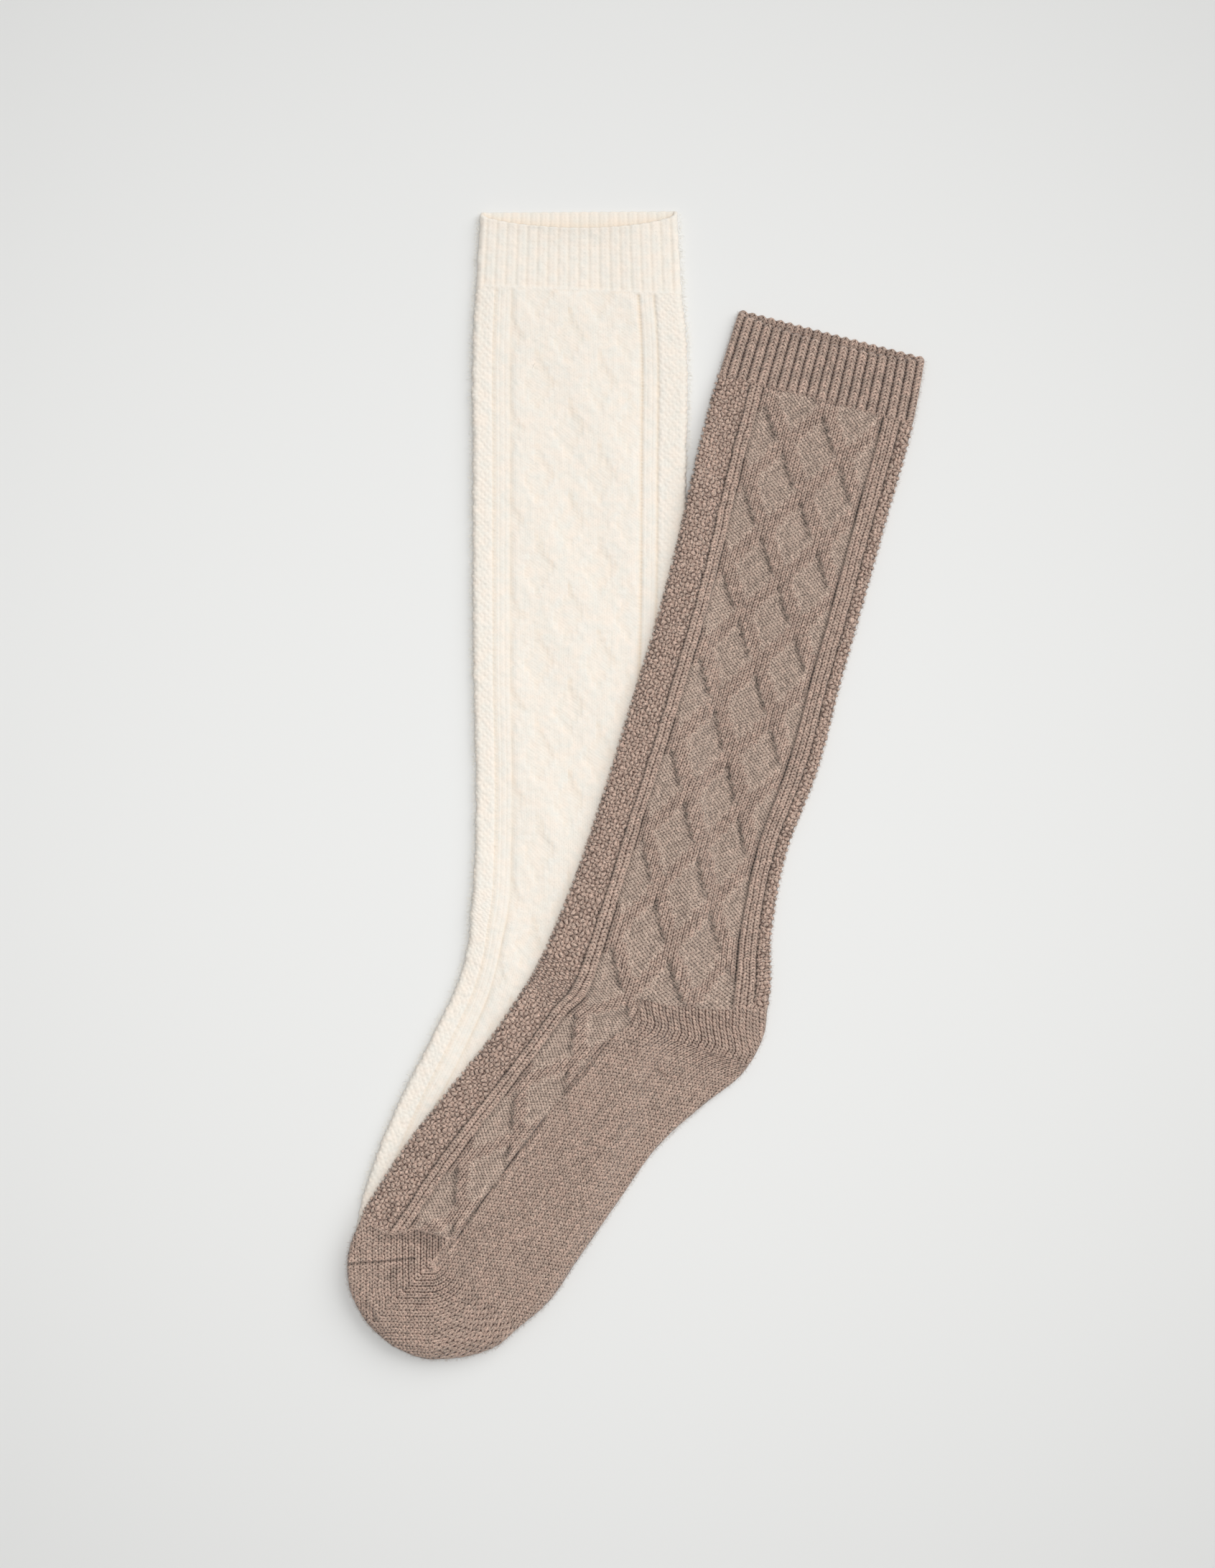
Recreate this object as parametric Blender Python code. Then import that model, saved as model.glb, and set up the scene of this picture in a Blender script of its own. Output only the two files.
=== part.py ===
"""A pair of knee-high cable-knit socks, laid flat on a surface, one across the other.

Each sock is a flattened tube of knitted cloth: a lower layer that rests, a narrow air gap and an
upper layer that carries the raised knitting. The cream sock lies on the surface and the taupe sock
lies over it. A sock is cut into the pieces a knitter names: cuff, leg, heel, instep, sole and toe.

Lengths are in millimetres until a mesh is written. X runs to the right, Y towards the cuffs and Z up.
"Across" is a fraction of a sock's width, 0 at the front fold and 1 at the back fold. "Along" is the
distance from the cuff's edge, measured down the line at LINE_ACROSS.
"""

import bpy
import bmesh
import numpy as np

MM = 0.001

# The cloth
WALL = 1.8             # one layer of plain knit
SLIT = 0.6             # air between the two layers
FOLD = 2.4             # distance in from an edge at which the folded layers lie flat
RIB = 0.8              # rise of the cuff's ribs and of the bands around the diamonds
TWIN_DIP = 0.35        # valley between the two wales of a twin rib
SEED = 0.5             # mean rise of the seed-stitch panels
SEED_STEP = 0.15       # a seed panel's bumps above and below that
PLAIN = 0.25           # rise of the plain heel, sole and toe, which are a little thicker than the valleys
DIAMOND_DEPTH = 0.6    # how far a diamond sinks below its bands
DIAMOND_WALL = 0.4     # part of a diamond's half size over which it sinks
CLEARANCE = 0.3        # between pieces, and between the two socks
SEAM = 0.55            # taken out along the sock where two pieces meet
DRAPE_START = 2.0      # the upper sock stays at full height this far past the lower sock's outline
DRAPE_END = 17.0       # and has come down to the surface this far past it
LINE_ACROSS = 0.3      # the line down a sock along which lengths are measured
SPLIT_ACROSS = 0.46    # line between the patterned instep and the plain heel and sole
SPLIT_GAP = 0.003      # half the gap along that line, as a fraction across
GROOVE = 0.007         # half width of the grooves beside the twin ribs, as a fraction across
CUFF_RIBS = 20
INNER_EDGE = 0.05      # the folded edge's share of the inner surface, across
TIP_REACH = 0.3        # how far into the toe's end wall the hollow inside comes to its point

# Where a sock is cut into pieces, as rows of its table of sections
CUFF_END = "cuff end"
HEEL_TOP = "heel top"
HEEL_END = "heel end"
TOE_START = "toe start"

# One row for each section across a sock, with its ends on the front fold and on the back fold and how
# far its middle bows towards the toe. Columns: place, front x, front y, back x, back y, bow.
TAUPE_SECTIONS = (
    ("cuff edge", 44.6, 204.8, 124.9, 184.0, 0.0),
    ("cuff end", 35.7, 176.5, 119.6, 155.6, 0.0),
    ("calf", 26.3, 140.7, 109.0, 117.7, 0.0),
    ("calf low", 17.9, 103.4, 98.7, 80.7, 0.0),
    ("mid leg", 7.9, 66.1, 88.2, 43.7, 0.0),
    ("shin", -3.6, 28.8, 78.2, 5.8, 0.0),
    ("above ankle", -15.1, -8.6, 64.5, -30.9, 0.0),
    ("ankle", -26.9, -42.8, 58.0, -66.4, 2.2),
    ("heel top", -40.3, -74.8, 56.8, -97.2, 8.7),
    ("heel back", -42.5, -79.1, 54.9, -109.9, 6.8),
    ("heel base", -44.3, -82.9, 45.9, -125.8, 2.8),
    ("heel end", -46.5, -86.3, 30.6, -138.2, 0.0),
    ("arch", -61.1, -108.1, 9.5, -157.2, 0.0),
    ("mid foot", -81.0, -133.0, -8.9, -182.7, 0.0),
    ("ball", -100.0, -157.8, -26.3, -207.6, 0.0),
    ("toe root", -110.6, -174.0, -38.1, -224.4, 0.0),
    ("toe start", -119.3, -188.9, -51.2, -235.6, 0.0),
    ("toe", -124.9, -206.7, -63.9, -245.2, 0.0),
    ("toe round", -122.1, -223.8, -81.3, -249.0, 0.0),
    ("toe end", -114.0, -236.2, -95.3, -248.0, 0.0),
    ("tip", -105.9, -243.4, -105.9, -243.4, 0.0),
)

CREAM_SECTIONS = (
    ("cuff edge", -67.6, 247.1, 17.6, 247.7, 0.0),
    ("cuff end", -69.5, 215.0, 19.5, 211.5, 0.0),
    ("calf", -70.8, 190.5, 21.6, 190.5, 0.0),
    ("calf low", -70.8, 140.7, 21.6, 140.7, 0.0),
    ("mid leg", -70.8, 91.0, 21.3, 91.0, 0.0),
    ("shin", -70.4, 41.2, 20.4, 41.2, 0.0),
    ("above ankle", -69.5, 0.8, 19.7, 0.8, 0.0),
    ("ankle", -69.8, -27.2, 19.7, -28.8, 0.9),
    ("heel top", -70.8, -47.4, 20.1, -54.6, 5.0),
    ("heel back", -71.4, -52.7, 19.1, -70.1, 5.0),
    ("heel base", -72.0, -58.3, 14.2, -83.8, 2.8),
    ("heel end", -72.3, -65.5, 5.8, -96.3, 0.0),
    ("arch", -76.7, -84.7, -2.6, -119.9, 0.0),
    ("mid foot", -88.8, -110.6, -11.4, -146.0, 0.0),
    ("ball", -101.5, -135.4, -22.2, -172.1, 0.0),
    ("toe root", -113.4, -164.1, -34.4, -200.8, 0.0),
    ("toe start", -120.5, -188.3, -46.8, -222.5, 0.0),
    ("toe", -121.4, -206.7, -58.9, -235.0, 0.0),
    ("toe round", -117.1, -221.0, -76.7, -239.3, 0.0),
    ("toe end", -109.0, -231.9, -89.7, -239.3, 0.0),
    ("tip", -100.6, -237.4, -100.6, -237.4, 0.0),
)

# What differs between the two socks. The bands are fractions across: where the seed panel and the
# twin rib at the front end, and where the twin rib and the seed panel at the back begin. Diamonds
# stand in columns, every other column half a diamond lower. "rows" gives the distance along at
# which the diamond count has a given value, because the knitting is stretched unevenly.
TAUPE = {
    "name": "taupe",
    "sections": TAUPE_SECTIONS,
    "bands": {"seed": 0.163, "twin": 0.232, "back_twin": 0.849, "back_seed": 0.939},
    "column_start": 0.27,
    "column_step": 0.15,
    "diamond_half_width": 0.087,
    "rows_along": (25.0, 144.7, 476.7),
    "rows_count": (-0.7, 2.5, 10.5),
    "mouth_dip": 4.5,
    "mouth_lift": 0.8,
    "under_columns": 8,
    "color": (0.36, 0.26, 0.21, 1.0),
}
CREAM = {
    "name": "cream",
    "sections": CREAM_SECTIONS,
    "bands": {"seed": 0.10, "twin": 0.176, "back_twin": 0.79, "back_seed": 0.863},
    "column_start": 0.16,
    "column_step": 0.145,
    "diamond_half_width": 0.095,
    "rows_along": (25.0, 155.0, 479.0),
    "rows_count": (-0.764, 2.5, 10.5),
    "mouth_dip": 7.0,
    "mouth_lift": 1.2,
    "under_columns": 3,
    "color": (0.88, 0.84, 0.75, 1.0),
}

DIAMOND_COLUMNS = 5
DIAMOND_HALF_ROWS = 0.33     # half a diamond's length, in diamond counts
MOUTH_LENGTH = 15.0          # how far down the open mouth still gapes

# How finely the surfaces are divided
ROWS_PER_DIAMOND = 6
ROW_MARGIN = 0.4                          # no row closer to a piece's end than this part of a step
COLUMNS_PER_STEP = 3                      # to each step from one column of diamonds to the next
FOLD_COLUMNS = (0.0, 0.006, 0.028)        # fractions across over the rounded fold
TWIN_WALES = (0.0, 0.25, 0.5, 0.75, 1.0)  # valley, rib, dip, rib and valley of a twin rib
BACK_TWIN_WALES = (0.0, 0.22, 0.5, 0.78, 1.0)
RIB_SHOULDERS = (0.3, 0.7)                # places of a cuff rib's shoulders
CUFF_ROWS = 4
LEG_INNER_ROWS = 15
HEEL_ROWS = 8
SOLE_ROWS = 13
BEND_ROWS = 5                             # further rows of the instep beside the heel's bend
SHORTEST_STEP = 1.0                       # between two rows of the instep
BACK_COLUMNS = 4                          # over the upper half of the heel and sole
TOE_COLUMNS = 7


# ---------------------------------------------------------------- curves

def hermite(stations, values, where):
    """Smooth curve through values at uneven stations; each slope is the weighted mean of its sides."""
    steps = np.diff(stations)
    slopes = np.diff(values, axis=0) / steps[:, None]
    tangents = np.empty_like(values)
    tangents[0] = slopes[0]
    tangents[-1] = slopes[-1]
    before = steps[:-1, None]
    after = steps[1:, None]
    tangents[1:-1] = (slopes[:-1] * after + slopes[1:] * before) / (before + after)
    piece = np.clip(np.searchsorted(stations, where, side="right") - 1, 0, len(steps) - 1)
    size = steps[piece][:, None]
    t = ((where - stations[piece]) / steps[piece])[:, None]
    rise = 3 * t**2 - 2 * t**3
    return (values[piece] * (1 - rise) + values[piece + 1] * rise
            + size * tangents[piece] * (t**3 - 2 * t**2 + t)
            + size * tangents[piece + 1] * (t**3 - t**2))


def smoothstep(low, high, x):
    t = np.clip((x - low) / (high - low), 0.0, 1.0)
    return t * t * (3 - 2 * t)


def quarter_round(distance, reach):
    """Height of a round edge, from 0 at the edge to 1 at a distance of reach."""
    t = np.clip(distance / reach, 0.0, 1.0)
    return np.sqrt(np.clip(1 - (1 - t) ** 2, 0.0, 1.0))


class Sock:
    """The flat plan of one sock: where a point (along, across) lies, and how far from the edges."""

    def __init__(self, style):
        self.style = style
        rows = style["sections"]
        table = np.array([row[1:] for row in rows])
        self.front = table[:, 0:2]
        self.back = table[:, 2:4]
        self.bow = table[:, 4:5]
        line = self.front + LINE_ACROSS * (self.back - self.front)
        lengths = np.linalg.norm(np.diff(line, axis=0), axis=1)
        self.stations = np.concatenate([[0.0], np.cumsum(lengths)])
        self.place = {row[0]: station for row, station in zip(rows, self.stations)}
        self.length = self.stations[-1]

    def ends(self, along):
        front = hermite(self.stations, self.front, along)
        back = hermite(self.stations, self.back, along)
        return front, back, hermite(self.stations, self.bow, along)

    def plan(self, along, across):
        """Plan position of points; the section's middle bows towards the toe."""
        front, back, bow = self.ends(along)
        chord = back - front
        width = np.maximum(np.linalg.norm(chord, axis=1, keepdims=True), 1e-6)
        toward_toe = np.stack([chord[:, 1], -chord[:, 0]], axis=1) / width
        share = across[:, None]
        return front + chord * share + toward_toe * bow * 4 * share * (1 - share)

    def edge_distance(self, along, across):
        """Distance of a point from each fold, square to the fold, and from the toe's tip."""
        step = 0.5
        here = np.clip(along, 0.0, self.length - step)
        front, back, _ = self.ends(here)
        front_next, back_next, _ = self.ends(here + step)
        chord = back - front
        width = np.maximum(np.linalg.norm(chord, axis=1), 1e-6)
        unit = chord / width[:, None]
        distances = []
        for start, end, share in ((front, front_next, across), (back, back_next, 1 - across)):
            way = (end - start) / np.maximum(np.linalg.norm(end - start, axis=1), 1e-6)[:, None]
            square = np.abs(unit[:, 0] * way[:, 1] - unit[:, 1] * way[:, 0])
            distances.append(share * width * np.maximum(square, 0.3))
        return distances[0], distances[1], self.length - along

    def roundness(self, along, across, reach, tip_start=0.0):
        front, back, tip = self.edge_distance(along, across)
        return (quarter_round(front, reach) * quarter_round(back, reach)
                * quarter_round(np.maximum(tip - tip_start, 0.0), reach))

    def outline(self):
        along = np.linspace(0.0, self.length, 90)
        front, back, _ = self.ends(along)
        return np.concatenate([front, back[::-1][1:]])


def signed_distance(points, outline):
    """Distance of plan points from a closed outline, below zero inside it."""
    start = outline[None, :, :]
    end = np.roll(outline, -1, axis=0)[None, :, :]
    point = points[:, None, :]
    edge = end - start
    length2 = np.maximum((edge**2).sum(axis=2), 1e-9)
    t = np.clip(((point - start) * edge).sum(axis=2) / length2, 0.0, 1.0)
    nearest = start + edge * t[:, :, None]
    distance = np.sqrt(((point - nearest) ** 2).sum(axis=2)).min(axis=1)
    above_start = start[:, :, 1] > point[:, :, 1]
    above_end = end[:, :, 1] > point[:, :, 1]
    crosses = above_start != above_end
    run = edge[:, :, 0] * (point[:, :, 1] - start[:, :, 1]) / np.where(crosses, edge[:, :, 1], 1.0)
    to_right = crosses & (point[:, :, 0] < start[:, :, 0] + run)
    inside = to_right.sum(axis=1) % 2 == 1
    return np.where(inside, -distance, distance)


# ---------------------------------------------------------------- raised knitting

def diamond_count(style, along):
    return np.interp(along, style["rows_along"], style["rows_count"])


def diamond_rows(style, start, end):
    """Distances along at which a row of points is needed."""
    low, high = diamond_count(style, np.array([start, end]))
    first = int(np.ceil(low * ROWS_PER_DIAMOND + ROW_MARGIN))
    last = int(np.floor(high * ROWS_PER_DIAMOND - ROW_MARGIN))
    counts = np.arange(first, last + 1) / ROWS_PER_DIAMOND
    inner = np.interp(counts, style["rows_count"], style["rows_along"])
    return np.concatenate([[start], inner, [end]])


def diamond_sink(style, along, across):
    """How deep the staggered diamonds sink, from 0 on the bands to 1 inside a diamond."""
    count = diamond_count(style, along)
    sink = np.zeros_like(along)
    for column in range(DIAMOND_COLUMNS):
        centre = style["column_start"] + column * style["column_step"]
        shifted = count - 0.5 * (column % 2)
        half_rows = np.abs(shifted - np.round(shifted)) / DIAMOND_HALF_ROWS
        half_width = np.abs(across - centre) / style["diamond_half_width"]
        inside = np.clip((1 - half_rows - half_width) / DIAMOND_WALL, 0.0, 1.0)
        sink = np.maximum(sink, inside)
    return sink


def twin_columns(bands):
    return bands["seed"] + np.array(TWIN_WALES) * (bands["twin"] - bands["seed"])


def back_twin_columns(bands):
    return bands["back_twin"] + np.array(BACK_TWIN_WALES) * (bands["back_seed"] - bands["back_twin"])


def leg_relief(style, along, across):
    """Rise of the upper layer: seed panels, twin ribs between grooves, and the diamond lattice."""
    bands = style["bands"]
    twin_rises = (0.0, RIB, RIB - TWIN_DIP, RIB, 0.0)
    places = np.concatenate([
        (0.0, bands["seed"] - 2 * GROOVE), twin_columns(bands),
        (bands["twin"] + 3 * GROOVE, bands["back_twin"] - 2 * GROOVE), back_twin_columns(bands),
        (bands["back_seed"] + 2 * GROOVE, 1.0)])
    rises = np.concatenate([(SEED, SEED), twin_rises, (RIB, RIB), twin_rises, (SEED, SEED)])
    rise = np.interp(across, places, rises)
    lattice = (across > bands["twin"] + GROOVE) & (across < bands["back_twin"] - GROOVE)
    rise = rise - np.where(lattice, DIAMOND_DEPTH * diamond_sink(style, along, across), 0.0)
    seed = (across < bands["seed"] - GROOVE) | (across > bands["back_seed"] + GROOVE)
    row = np.round(diamond_count(style, along) * ROWS_PER_DIAMOND)
    return rise + np.where(seed, SEED_STEP * np.cos(np.pi * row), 0.0)


def cuff_relief(style, along, across):
    """Rounded ribs, one valley to each rib: a cosine wave cut off level above and below."""
    wave = np.cos(2 * np.pi * CUFF_RIBS * across)
    return RIB * np.clip(0.7 - 0.9 * wave, 0.0, 1.0)


def plain_relief(style, along, across):
    return np.full_like(along, PLAIN)


# ---------------------------------------------------------------- columns of points across a sock

def leg_columns(style):
    """Fractions across at which the patterned upper layer needs a column of points."""
    bands = style["bands"]
    step = style["column_step"] / COLUMNS_PER_STEP
    lattice = np.arange(style["column_start"] - step, bands["back_twin"] - 1.5 * GROOVE, step)
    return np.concatenate([
        FOLD_COLUMNS, (bands["seed"] / 2, bands["seed"] - 2 * GROOVE), twin_columns(bands),
        lattice[lattice > bands["twin"] + 1.5 * GROOVE], back_twin_columns(bands),
        [(bands["back_seed"] + 1.0) / 2], far_fold_columns()])


def cuff_columns():
    """Each rib has a valley and two shoulders."""
    valleys_and_shoulders = np.arange(CUFF_RIBS)[:, None] + np.array((0.0, *RIB_SHOULDERS))
    columns = valleys_and_shoulders.ravel()[1:] / CUFF_RIBS
    return np.concatenate([FOLD_COLUMNS[:2], columns, far_fold_columns()[-2:]])


def far_fold_columns():
    return 1 - np.array(FOLD_COLUMNS[::-1])


def even_columns(start, end, count):
    """Columns from start to end, with the rounded fold's columns at any end that is a fold."""
    low = FOLD_COLUMNS if start == 0.0 else (start,)
    high = far_fold_columns() if end == 1.0 else (end,)
    inner = np.linspace(low[-1], high[0], count + 2)[1:-1]
    return np.concatenate([low, inner, high])


# ---------------------------------------------------------------- surfaces of one sock

class Layer:
    """Turns (along, ring) into points. Ring runs 0 to 1 over the upper layer, 1 to 2 back below."""

    def __init__(self, sock, drape):
        self.sock = sock
        self.drape = drape

    def points(self, along, ring, relief, inner):
        sock = self.sock
        style = sock.style
        ring = np.mod(ring, 2.0)
        upper = ring <= 1.0
        across = np.where(upper, ring, 2.0 - ring)
        mouth = np.where(upper, np.clip(1 - along / sock.place[CUFF_END], 0.0, 1.0) ** 2, 0.0)
        dip = style["mouth_dip"] * np.sqrt(np.clip(np.sin(np.pi * across), 0.0, 1.0))
        lowered = along + dip * mouth
        gape = np.where(upper, np.clip(1 - along / MOUTH_LENGTH, 0.0, 1.0) ** 2, 0.0)
        gape = gape * style["mouth_lift"] * np.sin(np.pi * across)
        middle = WALL + SLIT / 2
        if inner:
            front, back, bow = sock.ends(lowered)
            width = np.linalg.norm(back - front, axis=1)
            inset = np.minimum(WALL / np.maximum(width, 1e-6) / self.slant(lowered), 0.45)
            across = inset + across * (1 - 2 * inset)
            half = SLIT / 2 * quarter_round(np.maximum(sock.length - WALL * 2 - lowered, 0.0), SLIT)
            inner_ring = np.where(upper, ring, 2.0 - ring)
            half = half * quarter_round(np.minimum(inner_ring, 1 - inner_ring), INNER_EDGE)
            height = middle + np.where(upper, half + gape, -half)
        else:
            shape = sock.roundness(lowered, across, FOLD)
            rise = relief(style, lowered, across) * shape
            height = np.where(upper, middle + middle * shape + rise + gape, middle - middle * shape)
        plan = sock.plan(lowered, across)
        return np.column_stack([plan, height + self.drape(plan)])

    def slant(self, along):
        """Sine of the angle between a section and the folds, small only near the toe's tip."""
        front, back, tip = self.sock.edge_distance(along, np.full_like(along, 0.5))
        ends = self.sock.ends(along)
        half = np.maximum(np.linalg.norm(ends[1] - ends[0], axis=1) / 2, 1e-6)
        return np.clip(np.minimum(front, back) / half, 0.3, 1.0)

    def grid(self, rows, columns, relief, inner=False):
        """columns is one array of ring positions for all rows."""
        along, ring = np.meshgrid(rows, columns, indexing="ij")
        flat = self.points(along.ravel(), ring.ravel(), relief, inner)
        return flat.reshape(len(rows), len(columns), 3)

    def follow(self, grid, rows, columns, neighbour_rows, relief, inner=False):
        """Moves a grid's two side edges onto straight runs between the neighbouring piece's rows."""
        for side in (0, -1):
            ring = np.full_like(neighbour_rows, columns[side])
            line = self.points(neighbour_rows, ring, relief, inner)
            for axis in range(3):
                grid[:, side, axis] = np.interp(rows, neighbour_rows, line[:, axis])
        return grid


# ---------------------------------------------------------------- closed walls

class Wall:
    """Collects the outer and the inner surface of one piece and closes them into one solid."""

    def __init__(self):
        self.vertices = []
        self.faces = []

    def add_grid(self, grid, wraps):
        """Adds a grid's points and quads and returns its vertex numbers."""
        start = len(self.vertices)
        rows, columns, _ = grid.shape
        self.vertices += [tuple(point) for point in grid.reshape(-1, 3)]
        numbers = np.arange(start, start + rows * columns).reshape(rows, columns)
        if wraps:
            numbers = np.concatenate([numbers, numbers[:, :1]], axis=1)
        for i in range(rows - 1):
            for j in range(numbers.shape[1] - 1):
                corners = (numbers[i, j], numbers[i + 1, j], numbers[i + 1, j + 1], numbers[i, j + 1])
                self.faces.append(tuple(int(corner) for corner in corners))
        return numbers

    def zip_lines(self, line_a, places_a, line_b, places_b):
        """Fills the strip between two lines of vertices whose places run the same way."""
        i = 0
        j = 0
        while i < len(line_a) - 1 or j < len(line_b) - 1:
            next_a = places_a[i + 1] if i < len(line_a) - 1 else np.inf
            next_b = places_b[j + 1] if j < len(line_b) - 1 else np.inf
            if abs(next_a - next_b) < 1e-6:
                self.faces.append((int(line_a[i]), int(line_b[j]), int(line_b[j + 1]), int(line_a[i + 1])))
                i += 1
                j += 1
            elif next_a < next_b:
                self.faces.append((int(line_a[i]), int(line_b[j]), int(line_a[i + 1])))
                i += 1
            else:
                self.faces.append((int(line_a[i]), int(line_b[j]), int(line_b[j + 1])))
                j += 1

    def close_tip(self, ring, point):
        """Closes a ring of vertices onto one point."""
        self.vertices.append(tuple(point))
        tip = len(self.vertices) - 1
        for a, b in zip(ring[:-1], ring[1:]):
            self.faces.append((int(a), int(b), tip))

    def mesh(self, name, centre):
        mesh = bpy.data.meshes.new(name)
        points = (np.array(self.vertices) - centre) * MM
        mesh.from_pydata([tuple(point) for point in points], [], self.faces)
        shape = bmesh.new()
        shape.from_mesh(mesh)
        bmesh.ops.recalc_face_normals(shape, faces=shape.faces)
        shape.to_mesh(mesh)
        shape.free()
        mesh.shade_smooth()
        mesh.set_sharp_from_angle(angle=np.radians(50))
        return mesh


def tube_piece(layer, outer_rows, inner_rows, columns, inner_columns, relief, closed=False):
    """A piece that goes all round the sock, open at both ends or closed at the toe."""
    wall = Wall()
    outer = wall.add_grid(layer.grid(outer_rows, columns, relief), wraps=True)
    inner_grid = layer.grid(inner_rows, inner_columns, relief, inner=True)
    inner = wall.add_grid(inner_grid, wraps=True)
    around = np.append(columns, 2.0)
    inner_around = np.append(inner_columns, 2.0)
    wall.zip_lines(outer[0], around, inner[0], inner_around)
    if closed:
        tip = layer.points(np.array([layer.sock.length]), np.array([0.5]), relief, inner=False)[0]
        inner_end = (inner_grid[-1, 0] + inner_grid[-1, len(inner_columns) // 2]) / 2
        wall.close_tip(outer[-1], tip)
        wall.close_tip(inner[-1], inner_end + TIP_REACH * (tip - inner_end))
    else:
        wall.zip_lines(outer[-1], around, inner[-1], inner_around)
    return wall


def patch_piece(layer, rows, columns, inner_columns, relief, neighbour_rows=None):
    """A piece that wraps one fold only. Its outer and inner surfaces join along all four edges.

    neighbour_rows are the rows of the piece beside it, whose edge it follows.
    """
    wall = Wall()
    outer_grid = layer.grid(rows, columns, relief)
    inner_grid = layer.grid(rows, inner_columns, relief, inner=True)
    if neighbour_rows is not None:
        outer_grid = layer.follow(outer_grid, rows, columns, neighbour_rows, relief)
        inner_grid = layer.follow(inner_grid, rows, inner_columns, neighbour_rows, relief, inner=True)
    outer = wall.add_grid(outer_grid, wraps=False)
    inner = wall.add_grid(inner_grid, wraps=False)
    loops = []
    down = (rows - rows[0]) / (rows[-1] - rows[0])
    for numbers, ring in ((outer, columns), (inner, inner_columns)):
        side = (ring - ring[0]) / (ring[-1] - ring[0])
        line = np.concatenate([numbers[0, :], numbers[1:, -1], numbers[-1, -2::-1], numbers[-2::-1, 0]])
        places = np.concatenate([side, 1 + down[1:], 2 + (1 - side[-2::-1]), 3 + (1 - down[-2::-1])])
        loops += [line, places]
    wall.zip_lines(*loops)
    return wall


# ---------------------------------------------------------------- pieces of a sock

def sock_walls(style, drape):
    """All six pieces of one sock, by name."""
    sock = Sock(style)
    layer = Layer(sock, drape)
    gap = SEAM / 2
    mouth = 0.0
    cuff_end = sock.place[CUFF_END]
    heel_top = sock.place[HEEL_TOP]
    heel_end = sock.place[HEEL_END]
    toe_start = sock.place[TOE_START]
    tip = sock.length

    under = style["under_columns"]
    below = 2.0 - even_columns(0.0, 1.0, under)[::-1][1:-1]
    inner_half = np.linspace(INNER_EDGE, 1 - INNER_EDGE, 7)
    inner_ring = np.concatenate([(0.0, 0.02), inner_half, (0.98, 1.0, 1.02), 1.0 + inner_half, (1.98,)])
    walls = {}

    walls["cuff"] = tube_piece(
        layer, np.array([mouth, 2.0, cuff_end * 0.55, cuff_end - gap]),
        np.linspace(mouth, cuff_end - gap, CUFF_ROWS),
        np.concatenate([cuff_columns(), below]), inner_ring, cuff_relief)

    walls["leg"] = tube_piece(
        layer, diamond_rows(style, cuff_end + gap, heel_top - gap),
        np.linspace(cuff_end + gap, heel_top - gap, LEG_INNER_ROWS),
        np.concatenate([leg_columns(style), below]), inner_ring, leg_relief)

    # The instep wraps the front fold, up to the split line above and below.
    split = SPLIT_ACROSS - SPLIT_GAP
    top = leg_columns(style)
    top = np.append(top[top < split - GROOVE], split)
    bottom = np.append(even_columns(0.0, SPLIT_ACROSS, under // 3)[1:-1], split)
    inner_top = np.array([0.0, 0.02, INNER_EDGE, 0.18, 0.32, split])
    instep_rows = np.sort(np.concatenate([
        diamond_rows(style, heel_top + gap, toe_start - gap),
        np.linspace(heel_top + gap, heel_end, BEND_ROWS)[1:]]))
    instep_rows = instep_rows[np.append(True, np.diff(instep_rows) > SHORTEST_STEP)]
    walls["instep"] = patch_piece(
        layer, instep_rows, 2.0 + np.concatenate([-bottom[::-1], top]),
        2.0 + np.concatenate([-inner_top[::-1], inner_top[1:]]), leg_relief)

    # The heel and the sole wrap the back fold, down to the same line.
    split = SPLIT_ACROSS + SPLIT_GAP
    top = even_columns(split, 1.0, BACK_COLUMNS)
    ring = np.concatenate([top, 2.0 - top[::-1][1:]])
    inner_top = np.array([split, 0.63, 0.8, 1 - INNER_EDGE, 0.98, 1.0])
    inner_back = np.concatenate([inner_top, 2.0 - inner_top[::-1][1:]])
    walls["heel"] = patch_piece(
        layer, np.linspace(heel_top + gap, heel_end - gap, HEEL_ROWS),
        ring, inner_back, plain_relief, instep_rows)
    walls["sole"] = patch_piece(
        layer, np.linspace(heel_end + gap, toe_start - gap, SOLE_ROWS),
        ring, inner_back, plain_relief, instep_rows)

    # The toe's rows close up where it rounds off.
    top = even_columns(0.0, 1.0, TOE_COLUMNS)
    outer_rows = np.append(np.linspace(toe_start + gap, tip - 4.0, 6), tip - np.array([2.2, 1.0, 0.3]))
    inner_rows = np.append(np.linspace(toe_start + gap, tip - 9.0, 4), tip - np.array([6.5, 5.0]))
    walls["toe"] = tube_piece(
        layer, outer_rows, inner_rows, np.concatenate([top, 2.0 - top[::-1][1:-1]]),
        inner_ring, plain_relief, closed=True)
    return sock, walls


# ---------------------------------------------------------------- objects

def knit_material(name, color):
    """Matt wool-mix knit."""
    material = bpy.data.materials.new(name)
    material.use_nodes = True
    shader = material.node_tree.nodes["Principled BSDF"]
    shader.inputs["Base Color"].default_value = color
    shader.inputs["Roughness"].default_value = 0.95
    return material


def clear_scene():
    for item in list(bpy.data.objects):
        bpy.data.objects.remove(item, do_unlink=True)


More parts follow.
